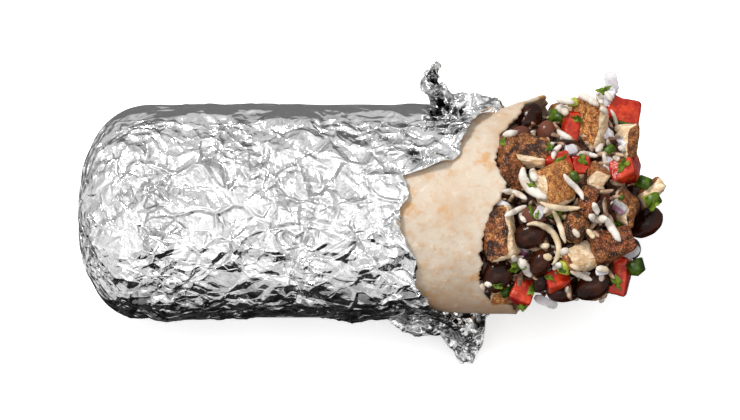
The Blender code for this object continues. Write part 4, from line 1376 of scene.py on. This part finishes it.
def make_knot(material):
    """The crushed foil at the foot of the twist."""
    mesh = bpy.data.meshes.new("foil_knot")
    bm = bmesh.new()
    bmesh.ops.create_icosphere(bm, subdivisions=5, radius=1.0)
    bm.to_mesh(mesh)
    bm.free()
    piece = new_piece("foil_knot", mesh, material)
    points, normals = corners(mesh)
    folds = sharp_noise(points * 5 * MM, 5 * MM, 6) + 0.5 * sharp_noise(points * 5 * MM, 2.4 * MM, 7)
    radii = 1 + 0.42 * folds
    axes = np.array([RIGHT * 5.6, UP * 4.6, OUT * 5.0]) * MM
    middle = np.array(on_side(28.5, 34.6, 5.5))
    mesh.vertices.foreach_set("co", (middle + (points * radii[:, None]) @ axes).ravel())
    mesh.update()
    rides(piece, "foil")
    return piece


# The twist's height up the open side, its place along and its half-width, in mm
PEAK_LINE = [(32, 28.5, 5.5), (36, 27.0, 4.8), (39.5, 24.2, 3.8), (42.5, 21.4, 4.3), (45.3, 20.6, 4.7),
             (48, 20.9, 4.2), (50.2, 21.8, 3.0), (52.0, 22.4, 1.2)]


def make_peak(material):
    """The twisted end of foil that stands up behind the roll."""
    ups, centres, halves = zip(*PEAK_LINE)

    def place(up, share):
        centre, half = np.interp(up, ups, centres), np.interp(up, ups, halves)
        twist = (up - ups[0]) * 0.12
        depth = half * 0.75 * math.sin(2.4 * share + twist * 2) + 2.0 * share * math.sin(twist)
        return centre + half * share * math.cos(twist * 0.5), up, 0.5 + 0.8 * (up - ups[0]) + depth

    rows = side_rows(place, np.linspace(ups[0], ups[-1], 56), np.linspace(-1, 1, 36))
    return crumpled_sheet(
        "foil_twist", rows, material, lambda i, j: 1.5 * (1 - 0.3 * i), lambda i, j: 0.25 + 0 * i, 4)


# The collar's torn top edge at places along the roll, in mm up the open side
COLLAR_FOOT = 31.5
COLLAR_TOP = [(22, 43), (25, 45.2), (28.5, 41.6), (33, 41.2), (37, 41.4), (41, 40.2), (45, 38.8), (47, 35)]


def make_collar(material):
    """The torn foil that stands behind the tortilla's far edge."""

    def place(share, along):
        up = COLLAR_FOOT + (outline(COLLAR_TOP, along) - COLLAR_FOOT) * share
        return along, up, 5.5 - 5.0 * share + 1.2 * math.sin(along * 0.55) * share

    rows = side_rows(place, np.linspace(0, 1, 30), np.linspace(22, 47, 90))
    return crumpled_sheet(
        "foil_collar", rows, material, lambda i, j: 1.1 * smooth_step(i * 2.5), lambda i, j: 0.08 + 0 * i, 9)


# The flap's toe at places along the roll, in mm up the open side
FLAP_ROOT = -33.0
FLAP_TOE = [(3, -35.5), (7, -39.5), (15, -43.5), (24, -43.4), (28.5, -48.5), (31, -53.3), (35.5, -53.3),
            (38, -49), (39.5, -42), (40, -36)]


def make_flap(material):
    """The crushed flap of foil that hangs in front of the roll, balled up at its right end."""

    def place(share, along):
        up = FLAP_ROOT + (outline(FLAP_TOE, along) - FLAP_ROOT) * share
        return along, up, 7.0 + 0.53 * (up - FLAP_ROOT)

    rows = side_rows(place, np.linspace(0, 1, 60), np.linspace(3, 40, 130))

    def balled(i, j):
        return smooth_step((j - 0.66) / 0.12) * smooth_step(i / 0.15)

    return crumpled_sheet(
        "foil_flap", rows, material,
        lambda i, j: (1.1 + 1.0 * balled(i, j)) * smooth_step(i * 5),
        lambda i, j: 0.12 + 2.6 * balled(i, j), 14)


def make_floor():
    mesh = bpy.data.meshes.new("table")
    bm = bmesh.new()
    bmesh.ops.create_grid(bm, x_segments=1, y_segments=1, size=3.0)
    bm.to_mesh(mesh)
    bm.free()
    table = bpy.data.objects.new("table", mesh)
    bpy.context.scene.collection.objects.link(table)
    mesh.materials.append(make_material("pale table", table_looks, Emission_Strength=0.5))
    table.visible_glossy = False
    table.visible_diffuse = False


def make_camera():
    """Looks down on the roll's open side, square to the roll."""
    camera = bpy.data.cameras.new("camera")
    camera.sensor_width = 36.0
    camera.lens = camera.sensor_width * VIEW_DISTANCE / VIEW_WIDTH
    eye = bpy.data.objects.new("camera", camera)
    eye.location = AXIS + Vector((-0.5, 0.45, 0.25)) * MM + OUT * VIEW_DISTANCE
    eye.rotation_euler = (math.pi / 2 - OPEN_SIDE_PITCH, 0.0, 0.0)
    bpy.context.scene.collection.objects.link(eye)
    bpy.context.scene.camera = eye


def make_light(name, place, target, size, power):
    light = bpy.data.lights.new(name, "AREA")
    light.shape = "RECTANGLE"
    light.size, light.size_y = size
    light.energy = power
    lamp = bpy.data.objects.new(name, light)
    lamp.location = place
    lamp.rotation_euler = (Vector(target) - Vector(place)).to_track_quat("-Z", "Y").to_euler()
    bpy.context.scene.collection.objects.link(lamp)
    return lamp


def make_lights():
    """A bright tent overhead that darkens under the horizon, and a key light from the far left."""
    world = bpy.data.worlds.new("tent")
    world.use_nodes = True
    bpy.context.scene.world = world
    tree = Tree(world.node_tree)
    way = tree.add("ShaderNodeTexCoord", out="Generated")
    height = tree.add("ShaderNodeSeparateXYZ", (), {"Vector": way}, out="Z")
    depth = tree.add("ShaderNodeSeparateXYZ", (), {"Vector": way}, out="Y")
    side = tree.add("ShaderNodeSeparateXYZ", (), {"Vector": way}, out="X")
    sky = 0.57 + 0.36 * tree.ramp(height, 0.2, 0.95) + 0.16 * tree.ramp(side * -1.0, 0.2, 0.9)
    uneven = 0.15 + 1.6 * tree.noise(way, 0.22, 1.5)
    below = 0.02 + 0.15 * tree.ramp(depth, -0.1, 0.5) + 0.08 * tree.ramp(tree.noise(way, 0.2), 0.5, 0.7)
    front = tree.ramp(depth, 0.1, -0.4)
    behind = tree.ramp(depth, 0.15, 0.45) * tree.ramp(depth, 0.85, 0.6)
    sky = sky * (1.0 + 0.16 * front - 0.16 * behind)
    far = tree.greater(depth, 0.0)
    near = tree.greater(side * -1.0, 0.0)
    risen = tree.ramp(height - 0.22 * far + 0.6 * near, -0.32, -0.20)
    glow = risen * sky * uneven + (1.0 - risen) * below
    background = tree.nodes["Background"]
    tree.feed(background.inputs["Color"], (1.0, 1.0, 1.0))
    tree.feed(background.inputs["Strength"], glow)
    make_light("key", (-0.52, 0.36, 1.12), (0.02, 0, 0.03), (0.40, 0.28), 13.0)
    make_light("front", (0.0, -0.75, 1.1), (0, 0, 0.03), (1.1, 0.5), 1.5)
    bpy.context.scene.view_settings.view_transform = "Standard"


FOIL = make_material("crumpled foil", foil_looks, Metallic=1.0)
TORTILLA = make_material("toasted tortilla", tortilla_looks, Specular_IOR_Level=0.2)
CHICKEN = make_material("seared chicken", chicken_looks, Specular_IOR_Level=0.42)
TOMATO = make_material("tomato", tomato_looks, Specular_IOR_Level=0.35)
BEAN = make_material("black bean", bean_looks, Specular_IOR_Level=0.22)
CORE = make_material("rice and bean mix", core_looks, Specular_IOR_Level=0.2)
RICE = make_material("white rice", rice_looks, Specular_IOR_Level=0.3)
STAINED_RICE = make_material("rice in sauce", stained_rice_looks, Specular_IOR_Level=0.25)
CHEESE = make_material("shredded cheese", cheese_looks, Specular_IOR_Level=0.3)
ONION = make_material("red onion", onion_looks)
PEPPER = make_material("green pepper", pepper_looks, Specular_IOR_Level=0.35)
LEAF = make_material("coriander", leaf_looks, Specular_IOR_Level=0.2)

make_camera()
make_lights()
make_floor()
make_foil(FOIL)
make_peak(FOIL)
make_knot(FOIL)
make_collar(FOIL)
make_flap(FOIL)
wrap = make_tortilla(TORTILLA)
core = make_core(CORE)
chunks = [make_chicken(number, CHICKEN) for number in range(1, 20)]
chunks += [make_tomato(number, TOMATO) for number in range(1, 12)]
chunks += [make_bean(number, BEAN) for number in range(1, 19)]

grain = grain_piece("grain", 8, 7)
strewing = strewing_tree("strewing")
stained = strew(strewing, core, grain, "stained_rice", STAINED_RICE, 3.2 * MM, 0.0, 0.5, 3)
loose = strew(strewing, core, grain, "white_rice", RICE, 7.5 * MM, 0.8 * MM, 0.5, 8)
bpy.data.objects.remove(grain)

sight = Sight([wrap, core, stained, loose] + chunks)
pepper = make_pepper(sight, PEPPER)
onion = make_onion(sight, ONION)
sight = Sight([wrap, core, stained, loose, pepper, onion] + chunks)
rice = make_strands(sight, RICE_STROKES, "rice_grains", RICE, "filling", 5)
cheese = make_strands(sight, CHEESE_STROKES, "cheese_shreds", CHEESE, "filling", 6)
sight = Sight([wrap, core, stained, loose, pepper, onion, rice, cheese] + chunks)
make_leaves(sight, LEAF)
